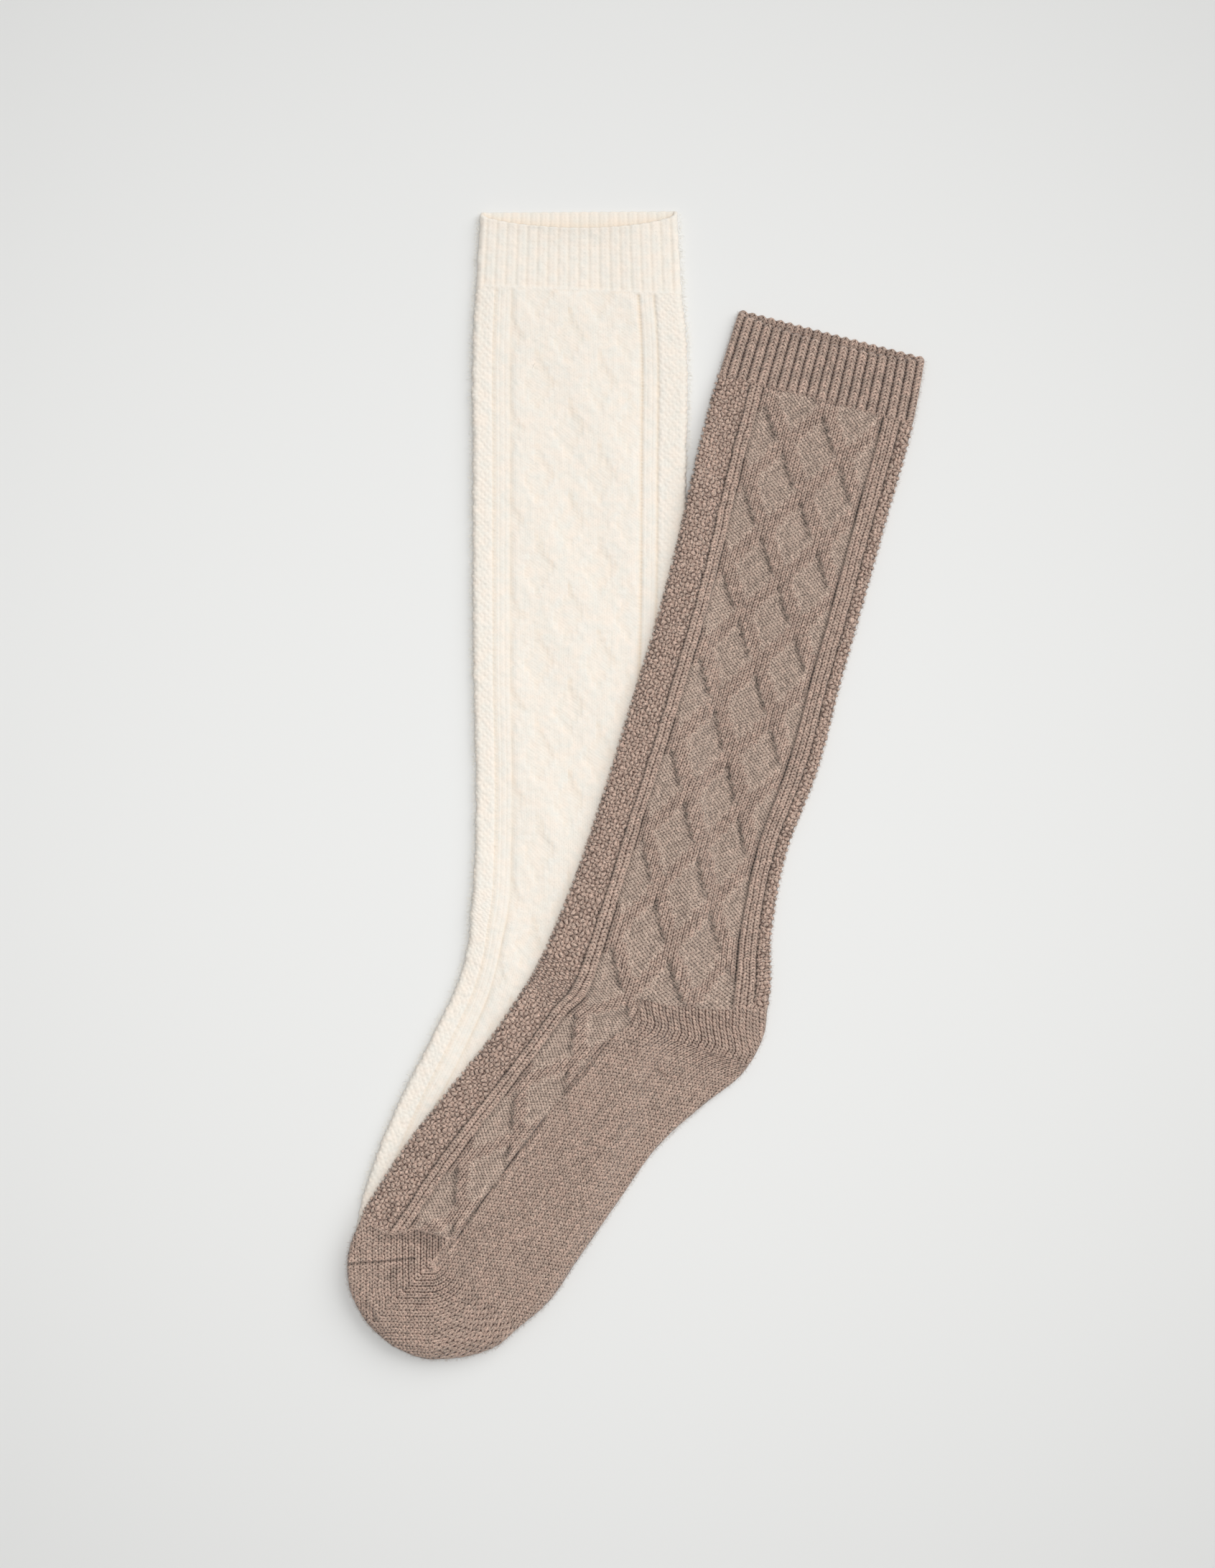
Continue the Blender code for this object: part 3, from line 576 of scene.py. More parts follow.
def loosen(grid):
    """Makes the stitches uneven: shifts their coordinates by up to a part of a stitch."""
    knit = grid.knit
    x, y = grid.points[:, :, 0], grid.points[:, :, 1]
    loose = 0.11 + 0.33 * knit["seed"]
    calm = 1 - 0.6 * knit["drawn"]
    knit["wale"] = knit["wale"] + calm * (loose * uneven(x, y, 2.3, 1) + 0.12 * uneven(x, y, 7.0, 2))
    knit["course"] = knit["course"] + loose * uneven(x, y, 2.1, 3) + 0.2 * uneven(x, y, 9.0, 4)


def stitch_height(knit):
    """Height of the stitches from 0 to 1, mixed by how much of each kind there is."""
    height = knit_height(knit["wale"], knit["course"], knit["drawn"])
    height = height + (purl_height(knit["wale"], knit["course"]) - height) * knit["purl"]
    return height + (seed_height(knit["wale"], knit["course"]) - height) * knit["seed"]


# ---------------------------------------------------------------- raised pattern

def diamonds(sock, wale, along):
    """The staggered diamonds: how deep each point sinks, how sure it is purled, and the pits, which sink
    further and get painted shade.

    In a diamond, a runs along and b across, each from -1 to 1 between its corners. It starts deep
    under the band at its upper right edge, b - a = 1, and rises from there to the band at its lower
    left edge, so the wall on that side is the steepest.
    """
    style = sock.style
    count = np.interp(along, style["rows_along"], style["rows_count"])
    half_width = DIAMOND_HALF_WIDTH / sock.wale_width
    # The columns of diamonds draw together a little on the foot.
    on_foot = smoothstep(sock.place["heel top"] - 90.0, sock.place["heel top"], along)
    step = style["column_step"] + (style["foot_column_step"] - style["column_step"]) * on_foot
    sink = np.zeros_like(wale)
    inside = np.full_like(wale, -1.0)
    pit = np.zeros_like(wale)
    for column in range(DIAMOND_COLUMNS):
        centre = sock.wales(sock.around(style["column_start"] + column * step))
        shifted = count - 0.5 * (column % 2)
        a = (shifted - np.round(shifted)) / DIAMOND_HALF_ROWS
        b = (wale - centre) / half_width
        from_steep = 1 - (b - a)
        wall = (smoothstep(-0.02, style["wall"], from_steep) * smoothstep(0.0, 0.5, 1 + a + b)
                * smoothstep(0.0, 0.5, 1 - a - b) * smoothstep(0.0, 0.4, 1 + b - a))
        sink = np.maximum(sink, wall * (0.6 + 0.4 * np.exp(-np.maximum(from_steep, 0.0) / 0.5)))
        inside = np.maximum(inside, 1 - np.abs(a) - np.abs(b))
        apex = np.exp(-((a + 0.88) / 0.11) ** 2 - ((b - 0.06) / 0.13) ** 2)
        edge = np.exp(-((from_steep - 0.08) / 0.14) ** 2) * smoothstep(0.15, -0.1, a) * (b > -0.1)
        pit = np.maximum(pit, 0.7 * apex + 0.75 * edge)
    return sink, inside, pit * style["pit"]


def twin_rib(share, wales):
    """A broad rib with steep sides and a line between its wales."""
    side = quarter_round(np.minimum(share, 1 - share), 0.3)
    line = np.abs(np.sin(np.pi * share * wales))
    return TWIN_RISE * side - CORD_LINE * (1 - line) ** 2 * side


def leg_pattern(sock, grid):
    """Rise of the patterned upper layer, how much of it is purl or seed stitch, and how much painted shade
    its pits and the lines between its bands get.
    """
    wale, along = grid.knit["wale"], grid.along
    edges = sock.edges
    relief = sock.style["relief"]
    rise = np.full_like(wale, BETWEEN_BANDS)
    seed = np.zeros_like(wale)
    drawn = np.zeros_like(wale)
    for band in ("seed", "back seed"):
        low, high = edges[band]
        inside = (wale >= low - BY_A_HAIR) & (wale < high - BY_A_HAIR)
        seed = np.where(inside, 1.0, seed)
        beside_rib = high - wale if band == "seed" else wale - low
        rise = np.where(inside, SEED_RISE * smoothstep(-0.3, 1.2, beside_rib), rise)
    for band in ("twin", "back twin"):
        low, high = edges[band]
        share = np.clip((wale - low) / (high - low), 0.0, 1.0)
        rib = (share > 0) & (share < 1)
        rise = np.where(rib, relief * twin_rib(share, high - low), rise)
        drawn = np.where(rib, DRAWN_RIB, drawn)
    low, high = edges["lattice"]
    inside = (wale >= low) & (wale <= high)
    course = course_mm()
    stitch_wale = np.floor(wale + BY_A_HAIR) + 0.5
    stitch_along = (np.floor(along / course + BY_A_HAIR) + 0.5) * course
    stepped = (wale + JAGGED * (stitch_wale - wale), along + JAGGED * (stitch_along - along))
    sink, _, pit = diamonds(sock, *stepped)
    _, stitch_inside, _ = diamonds(sock, stitch_wale, stitch_along)
    # The lattice comes down to the ribs at both sides, most beside the back one.
    shoulder = smoothstep(-0.4, 1.6, wale - low) * smoothstep(-0.2, 2.0, high - wale)
    lattice = LATTICE_GROUND + relief * (BAND_RISE * (1 - sink) - PIT_DEPTH * pit) * shoulder
    rise = np.where(inside, lattice, rise)
    purl = np.where(inside & (stitch_inside > 0.0), 1.0, 0.0)
    # The painted shade of the pits varies at random.
    ragged = 1 + 0.8 * uneven(wale * 2.0, along, 2.2, 5)
    pit = np.where(inside, pit * ragged, 0.0)
    dotted = 0.75 + 0.25 * np.cos(2 * np.pi * along / course)
    # Grooves between the bands, with painted shade along them.
    for band, side, depth, dark, width in BAND_LINES:
        distance = sock.from_wale(wale, edges[band][side]) / (width * sock.style["softness"])
        line = np.exp(-distance**2) * dotted
        rise = rise - relief * depth * line
        pit = pit + sock.style["pit"] * dark * line
    drawn = np.where(inside, DRAWN_BAND * (1 - purl), drawn)
    grid.knit.update(rise=rise, purl=purl, seed=seed, pit=pit, drawn=drawn)


def course_mm():
    """Height of one row of stitches, in millimetres."""
    return bpy.context.scene.sock_knit.course / MM


def waviness(plan):
    """Slow unevenness of cloth that lies by itself: a few long waves at different angles."""
    x, y = plan[:, 0], plan[:, 1]
    return (0.16 * np.sin(x / 8.3 + y / 17.0 + 0.6) + 0.13 * np.sin(x / 13.1 - y / 9.7 + 2.1)
            + 0.10 * np.sin(x / 5.1 + y / 23.0 + 4.0))


def creases(sock, plan):
    """Deep folds beside the instep, as troughs with a steep section 1 / (1 + (d / w)^4), and soft
    hollows and mounds with a bell section. Each lies along a run of straight pieces."""
    depth = np.zeros(len(plan))
    for line in sock.style["grooves"]:
        distance = line_distance(plan, np.array(line))
        ends = np.minimum(np.hypot(*(plan - line[0]).T), np.hypot(*(plan - line[-1]).T))
        ragged = 0.75 + 0.4 * uneven(plan[:, 0], plan[:, 1], 3.5, 7)
        width = GROOVE_WIDTH * (0.5 + 0.6 * smoothstep(0.0, 9.0, ends))
        depth = np.maximum(depth, GROOVE_DEPTH * ragged / (1 + (distance / width) ** 4))
    rise = -depth
    for height, width, line in sock.style["waves"]:
        rise = rise + height * soft_line(plan, np.array(line), width)
    return rise


def soft_line(plan, line, width):
    """Bell of the given width along a line: the sum of round bells set close along it."""
    spacing = width / 2
    bells = np.zeros(len(plan))
    for start, end in zip(line[:-1], line[1:]):
        count = max(int(round(np.linalg.norm(end - start) / spacing)), 1)
        for middle in start + (end - start) * ((np.arange(count) + 0.5) / count)[:, None]:
            bells += np.exp(-((plan - middle) ** 2).sum(axis=1) / width**2)
    return bells * spacing / (width * np.sqrt(np.pi))


# ---------------------------------------------------------------- meshes

def quads(numbers):
    """Corner numbers of the quads of a grid of vertices, wound along and then around."""
    corners = (numbers[:-1, :-1], numbers[1:, :-1], numbers[1:, 1:], numbers[:-1, 1:])
    return np.stack(corners, axis=-1).reshape(-1, 4)


def zip_strip(line_a, places_a, line_b, places_b):
    """Triangles between two lines of vertices whose places run the same way, from 0 to the same end."""
    next_a = places_a[1:]
    next_b = places_b[1:]
    b_at = np.searchsorted(next_b, next_a, side="left")
    a_at = np.searchsorted(next_a, next_b, side="right")
    first = np.stack([line_a[:-1], line_a[1:], line_b[b_at]], axis=1)
    second = np.stack([line_a[a_at], line_b[1:], line_b[:-1]], axis=1)
    return np.concatenate([first, second])


STITCH_TOP = (0.25, 0.31)     # stitch coordinates of the highest place of a knit stitch
HOLLOW_REACH = 20             # passes of softening that the depth of a recess is measured from, for the painted shading
HOLLOW_DEPTH = 0.5            # depth in millimetres of a recess whose painted shade counts as 1
PIT_SHARE = 0.9               # how much painted shade a pit adds, in parts of the shade of a full recess


class Shell:
    """Collects the grids of one closed shell and writes them as one mesh."""

    def __init__(self):
        self.count = 0
        self.points = []
        self.layers = {"purl": [], "seed": [], "drawn": [], "hollow": []}
        self.uv = []
        self.faces = []
        self.smooth = []

    def add(self, grid, knit=None):
        """Adds a grid of points. knit holds its stitch coordinates; without it the grid is plain."""
        rows, columns = grid.shape[:2]
        size = rows * columns
        numbers = np.arange(self.count, self.count + size).reshape(rows, columns)
        self.count += size
        self.points.append(grid.reshape(-1, 3))
        for name, values in self.layers.items():
            values.append(np.zeros(size) if knit is None else knit[name].ravel())
        return numbers

    def face(self, corners, uv, smooth=True):
        """Adds faces, with the stitch coordinates of each of their corners."""
        self.faces += corners.tolist()
        self.uv.append(uv.reshape(-1, 2))
        self.smooth.append(np.full(len(corners), smooth))

    def cover(self, numbers, knit, turned=False, wraps=False):
        """Faces of a grid, with the stitch coordinates as its UV map. A wrapped grid's map runs on."""
        wale = knit["wale"]
        course = knit["course"]
        if wraps:
            step = wale[:, -1:] - wale[:, -2:-1]
            numbers = np.concatenate([numbers, numbers[:, :1]], axis=1)
            wale = np.concatenate([wale, wale[:, -1:] + step], axis=1)
            course = np.concatenate([course, course[:, :1]], axis=1)
        corners = quads(numbers)
        uv = np.stack([quads(wale), quads(course)], axis=-1)
        # A face where one kind of knitting jumps to another would squeeze many stitches into itself.
        uv[(np.ptp(uv, axis=1) > 1.0).any(axis=1)] = STITCH_TOP
        if turned:
            corners = corners[:, ::-1]
            uv = uv[:, ::-1]
        self.face(corners, uv)
        return numbers

    def strip(self, *lines):
        """Joins two lines of vertices along a cut edge."""
        triangles = zip_strip(*lines)
        self.face(triangles, np.tile(STITCH_TOP, (len(triangles), 3, 1)), smooth=False)

    def mesh(self, name, centre):
        """The finished mesh in metres, moved so that the pair's middle is at the origin."""
        mesh = bpy.data.meshes.new(name)
        points = (np.concatenate(self.points) - centre) * MM
        mesh.from_pydata(points.tolist(), [], self.faces)
        uv_map = mesh.uv_layers.new(name="Stitches")
        uv_map.data.foreach_set("uv", np.concatenate(self.uv).astype(np.float32).ravel())
        for layer, values in self.layers.items():
            attribute = mesh.attributes.new(layer, "FLOAT", "POINT")
            attribute.data.foreach_set("value", np.concatenate(values).astype(np.float32))
        mesh.polygons.foreach_set("use_smooth", np.concatenate(self.smooth))
        mesh.update()
        return mesh


def unit_normals(grid):
    """Outward normals of a grid: the way along crossed with the way around."""
    normal = np.cross(np.gradient(grid, axis=0), np.gradient(grid, axis=1))
    return normal / np.maximum(np.linalg.norm(normal, axis=2, keepdims=True), 1e-9)


def raise_stitches(sock, grid, knit):
    """Moves a smooth grid out along its normals by the pattern, the creases and the stitches."""
    plan = grid[:, :, :2].reshape(-1, 2)
    upper = np.clip(grid[:, :, 2] / MIDDLE - 0.5, 0.0, 1.0) * knit["upper"]
    slow = (waviness(plan) + creases(sock, plan)).reshape(grid.shape[:2])
    slow = slow * smoothstep(0.0, 4.0, knit["edge"])
    pattern = knit["rise"]
    height = bpy.context.scene.sock_knit.stitch_height / MM * sock.style["stitch"]
    at_edge = smoothstep(3.0, 0.0, knit["edge"])
    fine = stitch_height(knit) - MEAN_STITCH
    fine = fine * height * (1 + knit["seed"] * (SEED_MORE + EDGE_MORE * at_edge))
    fade = smoothstep(-0.5, 3.0, knit["edge"])
    x, y = grid[:, :, 0], grid[:, :, 1]
    nap = uneven(x, y, 1.9, 6) + 0.6 * uneven(x, y, 4.7, 9)
    rise = upper * (slow + pattern * fade + fine + sock.style["nap"] * (0.5 + at_edge) * nap)
    total = slow + pattern
    # Painted shade where the surface lies below its softened surroundings and in the pits, and a painted
    # highlight where it lies above them.
    hollow = (soften(total, HOLLOW_REACH) - total) / HOLLOW_DEPTH + PIT_SHARE * knit["pit"]
    knit["hollow"] = np.clip(hollow, -1.0, 1.5) * upper
    return grid + unit_normals(grid) * rise[:, :, None]


class Grid:
    """A grid of places on a sock: along and ring, and what the knitting needs to know of each."""

    def __init__(self, sock, rows, ring, inner=False):
        self.sock = sock
        self.rows = rows
        self.ring = ring
        self.shape = (len(rows), len(ring))
        along, around = np.meshgrid(rows, ring, indexing="ij")
        points, lowered = sock.surface(along.ravel(), np.mod(around.ravel(), 2.0), inner)
        self.points = points.reshape(*self.shape, 3)
        self.along = lowered.reshape(self.shape)
        self.around = around
        place = np.mod(around, 2.0)
        upper = place <= 1.0
        share = np.where(upper, place, 2.0 - place)
        width = sock.squareness(lowered)[2].reshape(self.shape)
        self.knit = {
            "wale": sock.wales(share),
            "course": self.along / course_mm(),
            "rise": np.full(self.shape, PLAIN),
            "purl": np.zeros(self.shape),
            "seed": np.zeros(self.shape),
            "drawn": np.zeros(self.shape),
            "hollow": np.zeros(self.shape),
            "pit": np.zeros(self.shape),
            "upper": upper.astype(float),
            "edge": np.minimum(share, 1 - share) * width,
        }


def rows_between(start, end, step):
    """Even rows from start to end, about a step apart."""
    return np.linspace(start, end, max(int(round((end - start) / step)), 1) + 1)


def hem(places, gap, first=True, last=True):
    """Adds a place very close to an end, so that the shading turns the edge of a piece only there."""
    start = [places[0] + gap] if first else []
    end = [places[-1] - gap] if last else []
    return np.concatenate([places[:1], start, places[1:-1], end, places[-1:]])


def wale_columns(sock, high):
    """Places around, from the front fold to a wale, at even parts of each wale."""
    wales = [np.arange(low, low + count, 1 / parts) for low, (_, count, _, parts)
             in zip(sock.wale_ends, sock.style["bands"])]
    wales = np.concatenate(wales)
    return sock.around_of_wales(np.append(wales[wales < high - 0.1], high))


HEM = 0.02             # gap in millimetres
RING_HEM = 0.0003      # and as a place around
HEEL_STEP = 0.32       # between two rows of the heel, in millimetres
INNER_STEP = 12.0      # and between two rows of an inside that is hardly seen
INNER_RING = np.concatenate([
    (0.0, 0.02), np.linspace(0.05, 0.95, 7), (0.98, 1.0, 1.02), np.linspace(1.05, 1.95, 7), (1.98,)])
UNDER_RING = np.array([1.012, 1.03, 1.1, 1.35, 1.65, 1.9, 1.97, 1.988])


def tube_shell(grid, inner):
    """A shell that goes all round the sock and is open at both ends."""
    shell = Shell()
    outer_numbers = shell.add(grid.points, grid.knit)
    inner_numbers = shell.add(inner.points)
    outer_wrapped = shell.cover(outer_numbers, grid.knit, wraps=True)
    inner_wrapped = shell.cover(inner_numbers, inner.knit, turned=True, wraps=True)
    around = np.append(grid.ring, 2.0)
    inner_around = np.append(inner.ring, 2.0)
    shell.strip(outer_wrapped[0], around, inner_wrapped[0], inner_around)
    shell.strip(outer_wrapped[-1][::-1], 2.0 - around[::-1], inner_wrapped[-1][::-1],
                2.0 - inner_around[::-1])
    return shell


def perimeter(numbers, rows, ring):
    """The border of a grid of vertices, once round, with a place from 0 to 4 for each."""
    side = (ring - ring[0]) / (ring[-1] - ring[0])
    down = (rows - rows[0]) / (rows[-1] - rows[0])
    line = np.concatenate([numbers[0, :], numbers[1:, -1], numbers[-1, -2::-1], numbers[-2::-1, 0]])
    places = np.concatenate([side, 1 + down[1:], 2 + (1 - side[-2::-1]), 3 + (1 - down[-2::-1])])
    return line, places


def patch_shell(grid, inner):
    """A shell that wraps one fold only, closed along all four edges."""
    shell = Shell()
    outer_numbers = shell.add(grid.points, grid.knit)
    inner_numbers = shell.add(inner.points)
    shell.cover(outer_numbers, grid.knit)
    shell.cover(inner_numbers, inner.knit, turned=True)
    shell.strip(*perimeter(outer_numbers, grid.rows, grid.ring),
                *perimeter(inner_numbers, inner.rows, inner.ring))
    return shell


# ---------------------------------------------------------------- the six pieces of a sock

CUFF_COLUMNS = 8       # mesh columns for each rib
RIM_ROWS = np.array([0.0, 0.04, 0.15, 0.32, 0.55, 0.8])
RIM_REACH = 0.9        # depth of the rounded rim


def cuff_ribs(sock, part, rib, valley):
    """Stitch coordinates and rise of the ribs on the cuff's outer or inner surface."""
    knit = part.knit
    out = 2 * np.abs(np.mod(rib, 1.0) - 0.5)
    knit["wale"] = np.broadcast_to(rib, part.shape).copy()
    knit["course"] = knit["course"] - CUFF_SLANT * out
    ribbed = RIB * (1 - valley**8) * sock.style["cuff_relief"]
    fade = smoothstep(0.0, 1.5, sock.place["cuff end"] - part.along)
    knit["rise"] = np.broadcast_to(ribbed, part.shape) * fade + CUFF_JOIN * (1 - fade)
    knit["upper"] = np.ones(part.shape)
    knit["drawn"] = np.full(part.shape, DRAWN_RIB)


def at_rows(points, rows, wanted):
    """Points of a grid carried to other rows, column by column."""
    columns = [np.stack([np.interp(wanted, rows, points[:, j, axis]) for axis in range(3)], axis=-1)
               for j in range(points.shape[1])]
    return np.stack(columns, axis=1)


def rounded_rim(outer, inner, raised_outer, raised_inner):
    """Both surfaces of the cuff, drawn together at the mouth until they meet in a quarter round."""
    shaped = []
    for part, raised, other, others_points in ((outer, raised_outer, inner, raised_inner),
                                               (inner, raised_inner, outer, raised_outer)):
        between = (raised + at_rows(others_points, other.rows, part.rows)) / 2
        shaped.append(between + (raised - between) * quarter_round(part.rows, RIM_REACH)[:, None, None])
    return shaped


def cuff_shell(sock):
    """Ribbed cuff: its outer and inner surfaces meet in a rounded rim at the mouth."""
    end = sock.place["cuff end"]
    half = np.linspace(0.0, 1.0, CUFF_RIBS * CUFF_COLUMNS + 1)
    ring = np.concatenate([half, 1.0 + half[1:-1]])
    outer_rows = np.concatenate([RIM_ROWS, rows_between(1.1, end, course_mm() / 3)])
    # The inside needs close rows only where it shows through the mouth.
    inner_rows = np.concatenate([RIM_ROWS, rows_between(1.1, 12.0, 0.6), rows_between(13.0, end, 3.0)])
    outer = Grid(sock, hem(outer_rows, HEM, first=False), ring)
    inner = Grid(sock, inner_rows, ring, inner=True)
    rib = np.mod(ring, 1.0) * CUFF_RIBS
    valley = np.abs(np.cos(np.pi * rib))
    for part in (outer, inner):
        cuff_ribs(sock, part, rib, valley)

    # Painted shade in the valleys between the ribs, darkest a little below the rim, at random strength.
    ragged = 0.7 + 0.5 * uneven(outer.points[:, :, 0], outer.points[:, :, 1], 1.7, 8)
    dark = 0.4 + 0.9 * np.exp(-((outer.along - 3.0) / 3.0) ** 2)
    outer.knit["pit"] = sock.style["pit"] * valley**12 * dark * ragged
    outer.knit["upper"] = np.where(np.mod(ring, 2.0) <= 1.0, 1.0, 0.0) * np.ones(outer.shape)
    raised_outer = raise_stitches(sock, outer.points, outer.knit)
    # The cuff gets less painted shading.
    outer.knit["hollow"] *= 0.6

    height = bpy.context.scene.sock_knit.stitch_height / MM * sock.style["stitch"]
    lower_side = (np.mod(ring, 2.0) > 1.0)[None, :]
    inner_rise = inner.knit["rise"] - 0.35 + (stitch_height(inner.knit) - MEAN_STITCH) * height
    inner_rise = inner_rise * np.where(lower_side, 0.8, 0.0)
    raised_inner = inner.points + np.array([0.0, 0.0, 1.0]) * inner_rise[:, :, None]
    # Painted shadow on the inside that shows over the front rim, darkest just above it, and an even painted
    # shade on the inside of the front layer.
    dip = sock.style["mouth_dip"] * np.sqrt(np.clip(np.sin(np.pi * np.mod(ring, 1.0)), 0.04, 1.0))
    above_rim = smoothstep(0.2, 1.3, inner.along / dip)
    inner.knit["hollow"] = np.where(lower_side, 0.75 * above_rim + 0.05, 0.6)

    shaped = rounded_rim(outer, inner, raised_outer, raised_inner)
    # The ribs stand up a little at the rim.
    up = unit(sock.front[0] - sock.front[1])
    wave = RIM_WAVE * sock.style["cuff_relief"] * (0.5 - valley**2)
    for part, points in zip((outer, inner), shaped):
        lift = wave[None, :] * np.exp(-part.rows / 1.5)[:, None]
        points[:, :, :2] += up * lift[:, :, None]

    shell = Shell()
    outer_numbers = shell.add(shaped[0], outer.knit)
    inner_numbers = shell.add(shaped[1][1:], {name: value[1:] for name, value in inner.knit.items()})
    inner_numbers = np.concatenate([outer_numbers[:1], inner_numbers])
    outer_wrapped = shell.cover(outer_numbers, outer.knit, wraps=True)
    inner_wrapped = shell.cover(inner_numbers, inner.knit, turned=True, wraps=True)
    corners = quads(np.stack([outer_wrapped[-1], inner_wrapped[-1]]))
    shell.face(corners, np.tile(STITCH_TOP, (len(corners), 4, 1)), smooth=False)
    return shell


def leg_shell(sock):
    """Leg: seed stitch, twin rib, lattice of diamonds, twin rib and seed stitch."""
    start = sock.place["cuff end"]
    end = sock.place["heel top"]
    ring = np.concatenate([wale_columns(sock, sock.wale_ends[-1]), UNDER_RING])
    grid = Grid(sock, hem(rows_between(start, end, course_mm() / 3), HEM), ring)
    knit = grid.knit
    leg_pattern(sock, grid)
    from_split = smoothstep(0.0, 0.05, grid.around - sock.around(SPLIT_ACROSS))
    at_heel = smoothstep(2.5, 0.0, end - grid.along) * from_split
    knit["rise"] += (JOIN - knit["rise"]) * at_heel
    from_cuff = smoothstep(1.8, 0.2, grid.along - start)
    knit["rise"] += (CUFF_JOIN - knit["rise"]) * from_cuff
    loosen(grid)
    grid.points = raise_stitches(sock, grid.points, knit)
    inner = Grid(sock, rows_between(start, end, INNER_STEP), INNER_RING, inner=True)
    return tube_shell(grid, inner)


def instep_shell(sock):
    """Instep: the leg's pattern carried on down the top of the foot, round the front fold."""
    start = sock.place["heel top"]
    end = sock.place["toe start"]
    split = sock.around(SPLIT_ACROSS)
    split_wale = sock.wales(split)
    top = wale_columns(sock, split_wale)
    below = -np.array([split, 0.7 * split, 0.4 * split, 0.15 * split, 0.03, 0.012])
    ring = hem(np.concatenate([below, top]), RING_HEM)
    grid = Grid(sock, hem(rows_between(start, end, course_mm() / 3), HEM), 2.0 + ring)
    knit = grid.knit
    leg_pattern(sock, grid)
    to_split = smoothstep(1.6, 0.0, split_wale - knit["wale"])
    knit["rise"] += (PLAIN - knit["rise"]) * to_split
    # Painted shade where the pattern comes down to the plain knit at the split, at random strength.
    ragged = 0.6 + 0.6 * uneven(grid.points[:, :, 0], grid.points[:, :, 1], 3.0, 10)
    knit["pit"] = knit["pit"] + sock.style["pit"] * 0.55 * to_split**4 * ragged
    instep_end(sock, grid)
    loosen(grid)
    grid.points = raise_stitches(sock, grid.points, knit)
    inner_side = np.array([0.02, 0.05, 0.18, 0.32, split])
    inner_ring = 2.0 + np.concatenate([-inner_side[::-1], [0.0], inner_side])
    inner = Grid(sock, rows_between(start, end, INNER_STEP), inner_ring, inner=True)
    return patch_shell(grid, inner)


BACK_COLUMNS = 92      # mesh columns over the upper side of the heel and sole


def back_rings(sock):
    """Outer and inner ring of the heel and sole, from the split over the back fold and back under it."""
    split = sock.around(SPLIT_ACROSS)
    top = np.linspace(split, 1.0, BACK_COLUMNS + 1)
    below = 1.0 + np.array([0.012, 0.03, 0.1, 0.25, 0.4])
    outer = hem(np.concatenate([top, below, [2.0 - split]]), RING_HEM)
    inner_top = np.array([split, 0.63, 0.8, 0.95, 0.98])
    return outer, np.concatenate([inner_top, [1.0], 2.0 - inner_top[::-1]])


def heel_shell(sock):
    """Heel: plain knit that turns the corner along a gore line."""
    start = sock.place["heel top"]
    end = sock.place["heel end"]
    ring, inner_ring = back_rings(sock)
    grid = Grid(sock, hem(rows_between(start, end, HEEL_STEP), HEM), ring)
    heel_fields(sock, grid)
    grid.knit["rise"] += ((JOIN - PLAIN) * smoothstep(5.0, 0.0, grid.along - start)
                          * smoothstep(0.0, 0.05, grid.around - sock.around(SPLIT_ACROSS)))
    loosen(grid)
    grid.points = raise_stitches(sock, grid.points, grid.knit)
    inner = Grid(sock, rows_between(start, end, 8.0), inner_ring, inner=True)
    return patch_shell(grid, inner)


def sole_shell(sock):
    """Sole: plain knit round the lower fold of the foot."""
    start = sock.place["heel end"]
    end = sock.place["toe start"]
    ring, inner_ring = back_rings(sock)
    grid = Grid(sock, hem(rows_between(start, end, course_mm() / 3), HEM), ring)
    foot_fields(sock, grid)
    loosen(grid)
    grid.points = raise_stitches(sock, grid.points, grid.knit)
    inner = Grid(sock, rows_between(start, end, INNER_STEP), inner_ring, inner=True)
    return patch_shell(grid, inner)


TOE_COLUMNS = 164      # mesh columns over the upper side of the toe
TOE_ROUND = 4.0        # length of the toe's end, where its rows come closer together


def toe_shell(sock):
    """Toe: plain knit in nested corners, with the linked seam, closed at its tip."""
    start = sock.place["toe start"]
    tip = sock.length
    ring = np.concatenate([np.linspace(0.0, 1.0, TOE_COLUMNS + 1), UNDER_RING])
    closing = tip - TOE_ROUND * (1 - np.linspace(0, 0.995, 16)[1:])
    rows = np.concatenate([rows_between(start, tip - TOE_ROUND, 0.5), closing])
    grid = Grid(sock, hem(rows, HEM, last=False), ring)
    foot_fields(sock, grid)
    loosen(grid)
    if sock.style["seam"]:
        toe_seam(sock, grid)
    grid.points = raise_stitches(sock, grid.points, grid.knit)
    inner_rows = np.concatenate([rows_between(start, tip - 9.0, 9.0), tip - np.array([6.5, 5.0])])
    inner = Grid(sock, inner_rows, INNER_RING, inner=True)
    shell = Shell()
    outer_numbers = shell.add(grid.points, grid.knit)
    inner_numbers = shell.add(inner.points)
    poles = np.stack([grid.points[-1].mean(axis=0), inner.points[-1].mean(axis=0)])[:, None, :]
    pole_numbers = shell.add(poles)
    outer_wrapped = shell.cover(outer_numbers, grid.knit, wraps=True)
    inner_wrapped = shell.cover(inner_numbers, inner.knit, turned=True, wraps=True)
    shell.strip(outer_wrapped[0], np.append(ring, 2.0), inner_wrapped[0], np.append(INNER_RING, 2.0))
    for line, pole, turned in ((outer_wrapped[-1], pole_numbers[0, 0], False),
                               (inner_wrapped[-1], pole_numbers[1, 0], True)):
        fan = np.stack([line[:-1], np.full(len(line) - 1, pole), line[1:]], axis=1)
        fan = fan[:, ::-1] if turned else fan
        shell.face(fan, np.tile(STITCH_TOP, (len(fan), 3, 1)))
    return shell


